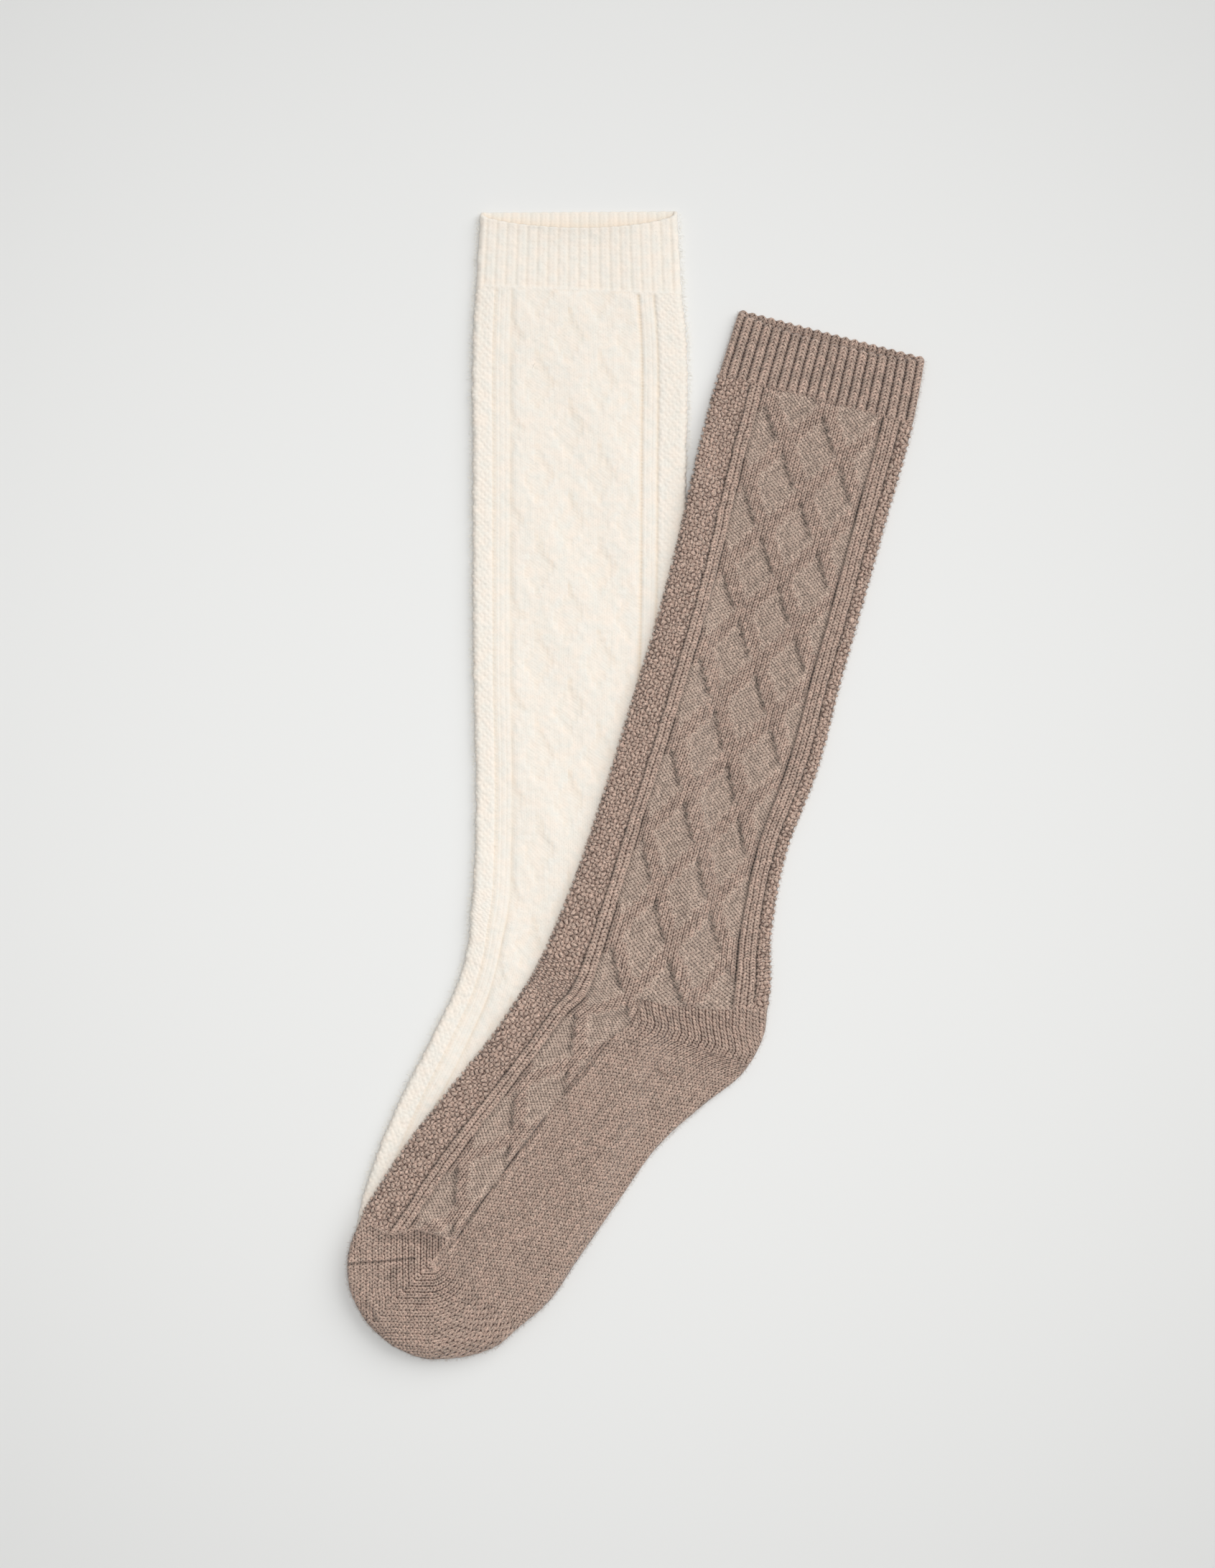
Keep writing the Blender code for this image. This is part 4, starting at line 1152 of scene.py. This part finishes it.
# ---------------------------------------------------------------- stitch coordinates off the straight

def upright_part(sock, x, y):
    """Where a point of the foot lies from the toe's corner: square to the sole's wales, and along them."""
    dx = x - sock.style["toe_corner"][0]
    dy = sock.style["toe_corner"][1] - y
    return dx, dy, SOLE_LEAN[0] * dx + SOLE_LEAN[1] * dy, SOLE_LEAN[1] * dx - SOLE_LEAN[0] * dy


def heel_fields(sock, grid):
    """Heel: wales run down to the gore line, turn sharply there and fan out towards the toe.

    Above the gore the wale is x times a. With t the depth below it, the wale is
    x (a1 - (a1 - a) e) + b1 t + (b - b1) L (1 - e), where e is exp(-t / L). Far from the gore that is
    the sole's own straight field.
    """
    x = grid.points[:, :, 0] - sock.style["gore"][0]
    y = grid.points[:, :, 1]
    gore = sock.style["gore"][1] + GORE_SLOPE * x
    depth = np.maximum(gore - y, 0.0)
    across_far = SOLE_LEAN[0] / SOLE_WALE + GORE_SLOPE * -SOLE_LEAN[1] / SOLE_WALE
    down_far = SOLE_LEAN[1] / SOLE_WALE
    fading = np.exp(-depth / GORE_REACH)
    wale = (x * (across_far - (across_far - 1 / HEEL_WALE) * fading) + down_far * depth
            + (GORE_TURN - down_far) * GORE_REACH * (1 - fading))
    above = np.maximum(y - gore, 0.0)
    wale = wale - 0.5 * np.exp(-((above - 4.0) / 6.0) ** 2) * (above > 0) * smoothstep(0.0, 4.0, above)
    _, _, out, back = upright_part(sock, grid.points[:, :, 0], np.minimum(y, gore))
    grid.knit["wale"] = wale
    grid.knit["course"] = -(back + COURSE_SKEW * out + above) / SOLE_COURSE
    grid.knit["drawn"] = smoothstep(10.0, 0.0, depth) * smoothstep(30.0, 14.0, np.abs(x - 6.0))


def foot_fields(sock, grid, where=True):
    """Sole and toe: wales are lines at even distances from a corner of the toe.

    To the left of the corner the distance is taken level, below it upright, further right square to
    the sole. Between the last two it is the plain distance, so the wales curve round the toe. Courses
    run square to the wales, and a little askew along the sole.
    """
    knit = grid.knit
    x, y = grid.points[:, :, 0], grid.points[:, :, 1]
    dx, dy, out, back = upright_part(sock, x, y)
    reach = np.hypot(dx, dy)
    sweep = np.arctan2(SOLE_LEAN[0], SOLE_LEAN[1])
    turned = np.clip(np.arctan2(dx, np.maximum(dy, 1e-6)), 0.0, sweep)
    in_sole = (back > 0) & (out > 0)
    in_sweep = (dx > 0) & (dy > 0) & ~in_sole
    in_left = (-dx > np.maximum(dy, 0.0)) | ((dy <= 0) & ~in_sole)
    pitch = TOE_WALE + (SOLE_WALE - TOE_WALE) * turned / sweep
    distance = np.where(in_sole, out, np.where(in_sweep, reach, np.where(in_left, -dx, dy)))
    pitch = np.where(in_sole, SOLE_WALE, np.where(in_sweep, pitch, TOE_WALE))
    round_course = -turned * (10.0 + COURSE_SKEW * reach)
    sole_course = -(back + sweep * (10.0 + COURSE_SKEW * out))
    course = np.where(in_sole, sole_course, np.where(in_sweep, round_course, np.where(in_left, dy, -dx)))
    near_corner = smoothstep(30.0, 8.0, reach) * (out < 18.0)
    knit["drawn"] = np.where(where & ~in_sole, near_corner, knit["drawn"])
    use = where & (knit["upper"] > 0.5)
    knit["wale"] = np.where(use, distance / pitch, knit["wale"])
    knit["course"] = np.where(use, course / SOLE_COURSE, knit["course"])
    knit["purl"] = np.where(use, 0.0, knit["purl"])
    knit["seed"] = np.where(use, 0.0, knit["seed"])


def instep_end(sock, grid):
    """The pattern stops short of the toe, and plain knit takes over; each band ends at its own place."""
    before = np.interp(grid.around - 2.0, *np.transpose(PATTERN_END))
    past = grid.along - (sock.place["toe start"] - before)
    share = smoothstep(-1.0, 1.5, past) * grid.knit["upper"]
    grid.knit["rise"] += (PLAIN - grid.knit["rise"]) * share
    foot_fields(sock, grid, share > 0.5)


def toe_seam(sock, grid):
    """The linked seam that closes the toe: a narrow groove between two low lips."""
    plan = grid.points[:, :, :2].reshape(-1, 2)
    distance = line_distance(plan, np.array(sock.style["seam"])).reshape(grid.shape)
    groove = 0.75 / (1 + (distance / 0.45) ** 4)
    lip = 0.3 * np.exp(-((distance - 1.2) / 0.6) ** 2)
    grid.knit["rise"] += np.where(grid.knit["upper"] > 0.5, lip - groove, 0.0)


# ---------------------------------------------------------------- loose fibres

def fibre_mesh(sock, name, centre, keep_off):
    """Loose fibres of the yarn: spikes with three sides, bent in the middle, all over and at the edges.

    Each starts under the knitted surface at a random place, leans out of it at random, and has its
    thickest place halfway along. None lies near the given outline.
    """
    style = sock.style
    random = np.random.default_rng(FIBRE_SEED)
    count = style["fibres"] + style["edge_fibres"]
    along = random.uniform(1.0, sock.length - 2.0, count)
    ring = random.uniform(0.02, 0.98, count)
    on_edge = random.integers(0, 2, count) + random.uniform(-0.012, 0.012, count)
    ring = np.where(np.arange(count) < style["edge_fibres"], np.mod(on_edge, 2.0), ring)
    start, _ = sock.surface(along, ring)
    step_along = sock.surface(along + 0.2, ring)[0] - start
    step_around = sock.surface(along, np.mod(ring + 0.001, 2.0))[0] - start
    out = unit(np.cross(step_along, step_around))
    lean = unit(unit(random.normal(size=(count, 3))) + out * random.uniform(0.3, 1.0, (count, 1)))
    size = style["fibre_length"] * random.uniform(0.5, 1.5, (count, 1))
    start = start + 0.2 * out
    middle = start + lean * size / 2 + out * size * 0.12
    tip = start + lean * size + unit(random.normal(size=(count, 3))) * size * 0.2
    side = unit(np.cross(lean, out))
    other = np.cross(lean, side)
    radius = style["fibre_radius"]
    corners = [middle + radius * (np.cos(turn) * side + np.sin(turn) * other)
               for turn in 2 * np.pi * np.arange(3) / 3]
    points = np.stack([start, *corners, tip], axis=1)
    clear = (points[:, :, 2] > 0.2).all(axis=1)
    if keep_off is not None:
        clear &= signed_distance(start[:, :2], keep_off) > 3.5
    points = points[clear]
    faces = np.array([(2, 1, 0), (3, 2, 0), (1, 3, 0), (1, 2, 4), (2, 3, 4), (3, 1, 4)])
    faces = (faces[None] + 5 * np.arange(len(points))[:, None, None]).reshape(-1, 3)
    mesh = bpy.data.meshes.new(name)
    mesh.from_pydata(((points.reshape(-1, 3) - centre) * MM).tolist(), [], faces.tolist())
    mesh.polygons.foreach_set("use_smooth", np.ones(len(faces), bool))
    dark = mesh.attributes.new("dark", "FLOAT", "POINT")
    dark.data.foreach_set("value", np.repeat(np.arange(len(points)) % DARK_EVERY == 0, 5).astype(np.float32))
    mesh.update()
    return mesh


def unit(vectors):
    """Vectors made one long."""
    return vectors / np.maximum(np.linalg.norm(vectors, axis=-1, keepdims=True), 1e-9)


# ---------------------------------------------------------------- materials

def linear(code):
    """Linear colour of an sRGB hex value."""
    values = np.array([int(code[i:i + 2], 16) for i in (1, 3, 5)]) / 255
    curve = np.where(values <= 0.04045, values / 12.92, ((values + 0.055) / 1.055) ** 2.4)
    return (*(float(value) for value in curve), 1.0)


def add(tree, kind, links=(), **settings):
    """Adds one node. settings are its properties, links are (input, value or output) pairs."""
    node = tree.nodes.new(kind)
    for name, value in settings.items():
        setattr(node, name, value)
    for name, value in links:
        if isinstance(value, bpy.types.NodeSocket):
            tree.links.new(value, node.inputs[name])
        else:
            node.inputs[name].default_value = value
    return node


def sums(tree):
    """Short names for the arithmetic of one node tree."""
    def math(operation, *values, clamp=False):
        node = add(tree, "ShaderNodeMath", list(enumerate(values)), operation=operation, use_clamp=clamp)
        return node.outputs[0]
    return math


def stitch_nodes(tree):
    """The stitches' height as in knit_height, purl_height and seed_height, from the UV map.

    Returns the height from 0 to 1, the coordinates of one leg of a stitch, the attributes purl and
    seed, and the attribute of painted shade and painted highlight.
    """
    math = sums(tree)
    uv = add(tree, "ShaderNodeUVMap", uv_map="Stitches").outputs["UV"]
    parts = add(tree, "ShaderNodeSeparateXYZ", [("Vector", uv)]).outputs
    wale, course = parts["X"], parts["Y"]
    purl, seed, drawn, hollow = (add(tree, "ShaderNodeAttribute", attribute_name=name).outputs["Fac"]
                                 for name in ("purl", "seed", "drawn", "hollow"))

    def gaps(phase, wave, power):
        """(1 - |wave of phase times pi|) to a power."""
        turned = math("ABSOLUTE", math(wave, math("MULTIPLY", phase, np.pi)))
        return math("POWER", math("SUBTRACT", 1.0, turned), power)

    def bumps(first, second, first_depth, second_depth, both_depth):
        """1 less two sets of gaps and their crossings."""
        both = math("MULTIPLY", math("MULTIPLY", first, second), both_depth)
        left = math("SUBTRACT", math("SUBTRACT", 1.0, math("MULTIPLY", first, first_depth)), both)
        return math("MULTIPLY_ADD", second, -second_depth, left, clamp=True)

    out = math("MULTIPLY", math("ABSOLUTE", math("SUBTRACT", math("FRACT", wale), 0.5)), 2.0)
    leg_course = math("MULTIPLY_ADD", out, -SLANT, course)
    hatch = math("SUBTRACT", course, wale)
    valley = math("MULTIPLY_ADD", gaps(wale, "COSINE", 2.0), MIDDLE_VALLEY, gaps(wale, "SINE", 2.0))
    knit = bumps(valley, gaps(leg_course, "COSINE", 2.0),
                 math("MULTIPLY_ADD", drawn, DRAWN_MORE, VALLEY_DEPTH), GAP_DEPTH, CROSSING_DEPTH)
    purled = bumps(gaps(hatch, "COSINE", 1.5), gaps(math("ADD", course, wale), "COSINE", 1.5),
                   *PURL_DEPTHS)
    board = math("MULTIPLY", math("SINE", math("MULTIPLY", wale, np.pi)),
                 math("COSINE", math("MULTIPLY", course, np.pi)))
    board = ramp(tree, board, -0.5, 0.5)
    beside, above = gaps(wale, "SINE", 1.5), gaps(course, "COSINE", 1.5)
    crevice = math("MULTIPLY", math("ADD", beside, above), math("SUBTRACT", 1.0, board))
    low = math("MULTIPLY", crevice, SEED_CREVICE)
    dot = math("MULTIPLY", math("MULTIPLY", beside, above), SEED_DOT)
    seeded = math("SUBTRACT", math("MULTIPLY_ADD", board, 0.5, 0.5), math("ADD", low, dot), clamp=True)
    height = math("MULTIPLY_ADD", math("SUBTRACT", purled, knit), purl, knit)
    height = math("MULTIPLY_ADD", math("SUBTRACT", seeded, height), seed, height)
    along = math("MULTIPLY_ADD", math("SUBTRACT", hatch, leg_course), purl, leg_course)
    leg = add(tree, "ShaderNodeCombineXYZ", [
        ("X", math("FLOOR", math("MULTIPLY", wale, 2.0))),
        ("Y", math("FLOOR", math("ADD", along, 0.5)))]).outputs["Vector"]
    return height, leg, purl, seed, hollow


def set_mix(tree, factor, low, high):
    """Adds a colour mix: low where the factor is 0, high where it is 1."""
    node = add(tree, "ShaderNodeMix", data_type="RGBA")
    for index, value in ((0, factor), (6, low), (7, high)):
        if isinstance(value, bpy.types.NodeSocket):
            tree.links.new(value, node.inputs[index])
        else:
            node.inputs[index].default_value = value
    return node.outputs[2]


def noise(tree, place, size, detail, roughness):
    """Noise from 0 to 1 whose largest grain is about the given size in metres."""
    node = add(tree, "ShaderNodeTexNoise", [
        ("Vector", place), ("Scale", 1 / size), ("Detail", detail), ("Roughness", roughness)])
    return node.outputs["Fac"]


def ramp(tree, value, low, high):
    """Smooth step of a value from 0 at low to 1 at high."""
    return add(tree, "ShaderNodeMapRange", [("Value", value), ("From Min", low), ("From Max", high)],
               interpolation_type="SMOOTHSTEP").outputs["Result"]


def scaled_colour(tree, colour, factor):
    """A colour made brighter or darker by a factor."""
    node = add(tree, "ShaderNodeVectorMath", [(0, colour), ("Scale", factor)], operation="SCALE")
    return node.outputs[0]


# Size of the grains of the yarns' noise, in metres.
MARL_GRAIN = 0.0018
TAUPE_FIBRE_GRAIN = 0.0005
CREAM_FIBRE_GRAIN = 0.0007
CREAM_CLOUD_GRAIN = 0.005
LOOSE_FIBRE_GRAIN = 0.002


def taupe_material(colours):
    """Marled wool-blend yarn, knitted: grey-brown and pinkish strands, matt, with painted shade in its
    crevices and hollows and a painted highlight on raised places.
    """
    material = bpy.data.materials.new("Marled taupe wool-blend knit")
    material.use_nodes = True
    tree = material.node_tree
    shader = tree.nodes["Principled BSDF"]
    math = sums(tree)
    height, leg, purl, seed, hollow = stitch_nodes(tree)
    place = add(tree, "ShaderNodeTexCoord").outputs["Object"]
    chance = add(tree, "ShaderNodeTexWhiteNoise", [("Vector", leg)], noise_dimensions="2D").outputs["Value"]
    marl = noise(tree, place, MARL_GRAIN, 2.0, 0.6)
    fibre = noise(tree, place, TAUPE_FIBRE_GRAIN, 2.0, 0.75)
    # Pink strands show in patches and on the knit side, grey ones on the purl side.
    pink = math("MULTIPLY_ADD", marl, 1.8, -0.55)
    pink = math("MULTIPLY_ADD", chance, 0.4, pink)
    pink = math("MULTIPLY_ADD", fibre, 1.6, math("SUBTRACT", pink, 0.85))
    pink = math("MULTIPLY_ADD", purl, -0.5, pink, clamp=True)
    yarn = set_mix(tree, pink, (*colours.taupe_light, 1.0), (*colours.taupe_pink, 1.0))
    # Painted shade in the gaps between the stitches, darker the lower the stitch lies, some much darker than
    # others at random.
    gap = math("MULTIPLY_ADD", chance, 0.25, -0.1)
    shade = set_mix(tree, ramp(tree, math("ADD", height, gap), 0.08, 0.75), linear("#45312A"), yarn)
    bright = math("MULTIPLY_ADD", fibre, 3.7, -0.75)
    bright = math("MULTIPLY", bright, math("MULTIPLY_ADD", chance, 0.3, 0.87))
    kind = math("MULTIPLY_ADD", purl, 0.03, math("MULTIPLY_ADD", seed, 0.13, 1.07))
    bright = math("MULTIPLY", bright, kind)
    # Painted shade in the hollows, most of all in the gaps between their stitches, and a painted highlight
    # where the knitting stands above its surroundings.
    shadow = math("MULTIPLY", hollow, math("MULTIPLY_ADD", height, -0.35, 0.62))
    bright = math("MULTIPLY", bright, math("SUBTRACT", 1.0, shadow))
    bright = math("MAXIMUM", bright, 0.15)
    tree.links.new(scaled_colour(tree, shade, bright), shader.inputs["Base Color"])
    rough = math("MULTIPLY_ADD", fibre, 0.7, height)
    bump = add(tree, "ShaderNodeBump", [("Height", rough), ("Strength", 1.0), ("Distance", 0.00045)])
    tree.links.new(bump.outputs["Normal"], shader.inputs["Normal"])
    shader.inputs["Roughness"].default_value = 0.9
    shader.inputs["Specular IOR Level"].default_value = 0.25
    shader.inputs["Sheen Weight"].default_value = 0.3
    shader.inputs["Sheen Roughness"].default_value = 0.4
    return material


def cream_material(colours):
    """Brushed wool-blend yarn, knitted: a soft nap over low stitches, with a warm painted shade in the
    hollows and a little painted shade on the low parts of the stitches.
    """
    material = bpy.data.materials.new("Brushed cream wool-blend knit")
    material.use_nodes = True
    tree = material.node_tree
    shader = tree.nodes["Principled BSDF"]
    math = sums(tree)
    height, _, _, _, hollow = stitch_nodes(tree)
    place = add(tree, "ShaderNodeTexCoord").outputs["Object"]
    fibre = noise(tree, place, CREAM_FIBRE_GRAIN, 3.0, 0.7)
    cloud = noise(tree, place, CREAM_CLOUD_GRAIN, 2.0, 0.6)
    warm = math("MULTIPLY_ADD", cloud, 3.0, -1.0, clamp=True)
    yarn = set_mix(tree, warm, (*colours.cream, 1.0), linear("#E9DFD3"))
    # Warm painted shade in the hollows.
    painted_hollow_shade = math("MULTIPLY_ADD", hollow, 0.45, 0.05, clamp=True)
    base = set_mix(tree, painted_hollow_shade, yarn, linear("#D8C2A6"))
    bright = math("MULTIPLY_ADD", fibre, 0.1, 0.95)
    # A little painted shade on the low parts of the stitches.
    bright = math("MULTIPLY", bright, math("MULTIPLY_ADD", ramp(tree, height, 0.0, 0.6), 0.05, 0.95))
    tree.links.new(scaled_colour(tree, base, bright), shader.inputs["Base Color"])
    rough = math("MULTIPLY_ADD", fibre, 1.2, math("MULTIPLY", height, 0.35))
    bump = add(tree, "ShaderNodeBump", [("Height", rough), ("Strength", 0.4), ("Distance", 0.00025)])
    tree.links.new(bump.outputs["Normal"], shader.inputs["Normal"])
    shader.inputs["Roughness"].default_value = 0.95
    shader.inputs["Specular IOR Level"].default_value = 0.2
    shader.inputs["Sheen Weight"].default_value = 0.4
    shader.inputs["Sheen Roughness"].default_value = 0.5
    return material


def fibre_material(name, colour):
    """Loose wool-blend fibre, matt, with a few dark specks of lint among it."""
    material = bpy.data.materials.new(name)
    material.use_nodes = True
    tree = material.node_tree
    shader = tree.nodes["Principled BSDF"]
    math = sums(tree)
    place = add(tree, "ShaderNodeTexCoord").outputs["Object"]
    shade = math("MULTIPLY_ADD", noise(tree, place, LOOSE_FIBRE_GRAIN, 2.0, 0.6), 0.5, 0.85)
    dark = add(tree, "ShaderNodeAttribute", attribute_name="dark").outputs["Fac"]
    base = set_mix(tree, dark, (*colour, 1.0), linear("#4A3B33"))
    tree.links.new(scaled_colour(tree, base, shade), shader.inputs["Base Color"])
    shader.inputs["Roughness"].default_value = 0.95
    shader.inputs["Specular IOR Level"].default_value = 0.2
    return material


def floor_material():
    """Matt white card."""
    material = bpy.data.materials.new("Matt white card")
    material.use_nodes = True
    shader = material.node_tree.nodes["Principled BSDF"]
    shader.inputs["Base Color"].default_value = linear("#DCDCDA")
    shader.inputs["Roughness"].default_value = 1.0
    shader.inputs["Specular IOR Level"].default_value = 0.0
    return material


# ---------------------------------------------------------------- operators

def both_socks():
    """The two socks, the upper one draped over the lower, and the middle of their plan."""
    flat = Sock(CREAM, lambda plan: np.zeros(len(plan)))
    outline = flat.outline()
    full_height = 2 * WALL + SLIT + RIB + CLEARANCE

    def over_cream(plan):
        return full_height * (1 - smoothstep(DRAPE_START, DRAPE_END, signed_distance(plan, outline)))

    draped = Sock(TAUPE, over_cream)
    points = np.concatenate([flat.outline(), draped.outline()])
    middle = (points.min(axis=0) + points.max(axis=0)) / 2
    return (flat, draped), np.array([middle[0], middle[1], 0.0])


def knit_material(name):
    """The yarn's material, made once."""
    titles = {"taupe": "Marled taupe wool-blend knit", "cream": "Brushed cream wool-blend knit"}
    found = bpy.data.materials.get(titles[name])
    if found:
        return found
    colours = bpy.context.scene.sock_colours
    return taupe_material(colours) if name == "taupe" else cream_material(colours)


def stretch(sock, start, end):
    """Length of a stretch of a sock and its mean width."""
    along = np.linspace(sock.place[start], sock.place[end], 40)
    front_sine, back_sine, width = sock.squareness(along)
    return along[-1] - along[0], float((width * (front_sine + back_sine) / 2).mean())


def build_part(part, make_shell, start, end):
    """Builds one piece on both socks, from one place to another.
    """
    socks, centre = both_socks()
    for sock in socks:
        name = sock.style["name"]
        node = f"{name}_{part}"
        mesh = make_shell(sock).mesh(node + "_knit", centre)
        item = bpy.data.objects.new(node + "_knit", mesh)
        bpy.context.scene.collection.objects.link(item)
        mesh.materials.append(knit_material(name))
        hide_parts(node)
        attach(item, BODY)
        length, width = stretch(sock, start, end)


class SOCKS_OT_cuffs(bpy.types.Operator):
    """Knit both ribbed cuffs"""

    bl_idname = "socks.cuffs"
    bl_label = "Cuffs"

    def execute(self, context):
        build_part("cuff", cuff_shell, "cuff edge", "cuff end")
        return {"FINISHED"}


class SOCKS_OT_legs(bpy.types.Operator):
    """Knit both patterned legs"""

    bl_idname = "socks.legs"
    bl_label = "Legs"

    def execute(self, context):
        build_part("leg", leg_shell, "cuff end", "heel top")
        return {"FINISHED"}


class SOCKS_OT_heels(bpy.types.Operator):
    """Knit both plain heels"""

    bl_idname = "socks.heels"
    bl_label = "Heels"

    def execute(self, context):
        build_part("heel", heel_shell, "heel top", "heel end")
        return {"FINISHED"}


class SOCKS_OT_insteps(bpy.types.Operator):
    """Knit both patterned insteps"""

    bl_idname = "socks.insteps"
    bl_label = "Insteps"

    def execute(self, context):
        build_part("instep", instep_shell, "heel top", "toe start")
        return {"FINISHED"}


class SOCKS_OT_soles(bpy.types.Operator):
    """Knit both plain soles"""

    bl_idname = "socks.soles"
    bl_label = "Soles"

    def execute(self, context):
        build_part("sole", sole_shell, "heel end", "toe start")
        return {"FINISHED"}


class SOCKS_OT_toes(bpy.types.Operator):
    """Knit both plain toes"""

    bl_idname = "socks.toes"
    bl_label = "Toes"

    def execute(self, context):
        build_part("toe", toe_shell, "toe start", "tip")
        return {"FINISHED"}


class SOCKS_OT_fibres(bpy.types.Operator):
    """Raise the loose fibres of both yarns"""

    bl_idname = "socks.fibres"
    bl_label = "Loose fibres"

    def execute(self, context):
        colours = context.scene.sock_colours
        (cream, taupe), centre = both_socks()
        for sock, keep_off, colour in (
                (cream, taupe.outline(), colours.cream), (taupe, None, colours.taupe_light)):
            name = sock.style["name"]
            mesh = fibre_mesh(sock, name + "_fibres", centre, keep_off)
            mesh.materials.append(fibre_material(f"Loose {name} wool-blend fibre", colour))
            item = bpy.data.objects.new(name + "_fibres", mesh)
            context.scene.collection.objects.link(item)
            # Real fibres let the light through, so these draw no shadow.
            item.visible_shadow = False
            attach(item, BODY)
        return {"FINISHED"}


FRAME_HEIGHT = 679.0            # what the picture shows from top to bottom, in millimetres
FRAME_MIDDLE = (-12.6, 0.2)     # and what lies at its middle
FLOOR_REACH = 6.0               # of the card, from the middle to a side, in metres
WINDOW_PLACE = (1.2, 1.0, 1.35) # direction that the window light comes from
SOFT_BOX_HEIGHT = 2.1           # in metres
SOFT_BOX_RADIUS = 0.3
SOFT_BOX_CONE = 0.72            # angle in radians


class SOCKS_OT_stage(bpy.types.Operator):
    """Set the floor, the soft light and the camera above"""

    bl_idname = "socks.stage"
    bl_label = "Floor, light and camera"

    def execute(self, context):
        settings = context.scene.sock_stage
        scene = context.scene
        mesh = bpy.data.meshes.new("floor")
        corners = [(x * FLOOR_REACH, y * FLOOR_REACH, 0.0) for x, y in ((-1, -1), (1, -1), (1, 1), (-1, 1))]
        mesh.from_pydata(corners, [], [(0, 1, 2, 3)])
        mesh.materials.append(floor_material())
        floor = bpy.data.objects.new("floor", mesh)
        scene.collection.objects.link(floor)

        # A far, broad light from the upper right, so the floor stays even.
        key = bpy.data.lights.new("Window light", "SUN")
        key.energy = settings.key_strength
        key.angle = settings.key_spread
        window = bpy.data.objects.new("Window light", key)
        window.location = WINDOW_PLACE
        window.rotation_euler = window.location.to_track_quat("Z", "Y").to_euler()
        scene.collection.objects.link(window)

        overhead = bpy.data.lights.new("Overhead soft box", "SPOT")
        overhead.shadow_soft_size = SOFT_BOX_RADIUS
        overhead.spot_size = SOFT_BOX_CONE
        overhead.spot_blend = 1.0
        overhead.energy = settings.overhead_power
        soft_box = bpy.data.objects.new("Overhead soft box", overhead)
        soft_box.location = (0.0, 0.0, SOFT_BOX_HEIGHT)
        scene.collection.objects.link(soft_box)

        world = bpy.data.worlds.new("Even studio light")
        world.use_nodes = True
        background = world.node_tree.nodes["Background"]
        background.inputs["Color"].default_value = linear("#FCFDFF")
        background.inputs["Strength"].default_value = settings.fill
        scene.world = world

        camera = bpy.data.cameras.new("Camera")
        camera.sensor_fit = "VERTICAL"
        camera.sensor_height = 24.0
        camera.lens = camera.sensor_height * settings.camera_height / (FRAME_HEIGHT * MM)
        camera.clip_end = 50.0
        viewer = bpy.data.objects.new("Camera", camera)
        viewer.location = (FRAME_MIDDLE[0] * MM, FRAME_MIDDLE[1] * MM, settings.camera_height + 3 * MM)
        scene.collection.objects.link(viewer)
        scene.camera = viewer
        scene.view_settings.view_transform = "Standard"
        scene.view_settings.look = "None"
        return {"FINISHED"}


class SOCKS_PT_panel(bpy.types.Panel):
    """Sidebar panel with the sizes and one button for each piece"""

    bl_label = "Pair of socks"
    bl_idname = "SOCKS_PT_panel"
    bl_space_type = "VIEW_3D"
    bl_region_type = "UI"
    bl_category = "Socks"

    def draw(self, context):
        layout = self.layout
        scene = context.scene
        for settings in (scene.sock_knit, scene.sock_colours, scene.sock_stage):
            box = layout.box()
            for name in settings.__annotations__:
                box.prop(settings, name)
        for operator in OPERATORS:
            layout.operator(operator.bl_idname)


OPERATORS = (
    SOCKS_OT_cuffs, SOCKS_OT_legs, SOCKS_OT_heels, SOCKS_OT_insteps, SOCKS_OT_soles, SOCKS_OT_toes,
    SOCKS_OT_fibres, SOCKS_OT_stage,
)
GROUPS = (
    ("sock_knit", SockKnitSettings),
    ("sock_colours", SockColourSettings),
    ("sock_stage", SockStageSettings),
)


def register():
    """Makes the settings, the operators and the panel known to Blender."""
    for name, group in GROUPS:
        bpy.utils.register_class(group)
        setattr(bpy.types.Scene, name, bpy.props.PointerProperty(type=group))
    for operator in OPERATORS:
        bpy.utils.register_class(operator)
    bpy.utils.register_class(SOCKS_PT_panel)


def unregister():
    """Takes them away again, in the opposite order."""
    bpy.utils.unregister_class(SOCKS_PT_panel)
    for operator in reversed(OPERATORS):
        bpy.utils.unregister_class(operator)
    for name, group in reversed(GROUPS):
        delattr(bpy.types.Scene, name)
        bpy.utils.unregister_class(group)


def main():
    """Builds the pair and its stage."""
    register()
    bpy.ops.socks.cuffs()
    bpy.ops.socks.legs()
    bpy.ops.socks.heels()
    bpy.ops.socks.insteps()
    bpy.ops.socks.soles()
    bpy.ops.socks.toes()
    bpy.ops.socks.fibres()
    bpy.ops.socks.stage()
    bpy.context.view_layer.update()


if __name__ == "__main__":
    main()
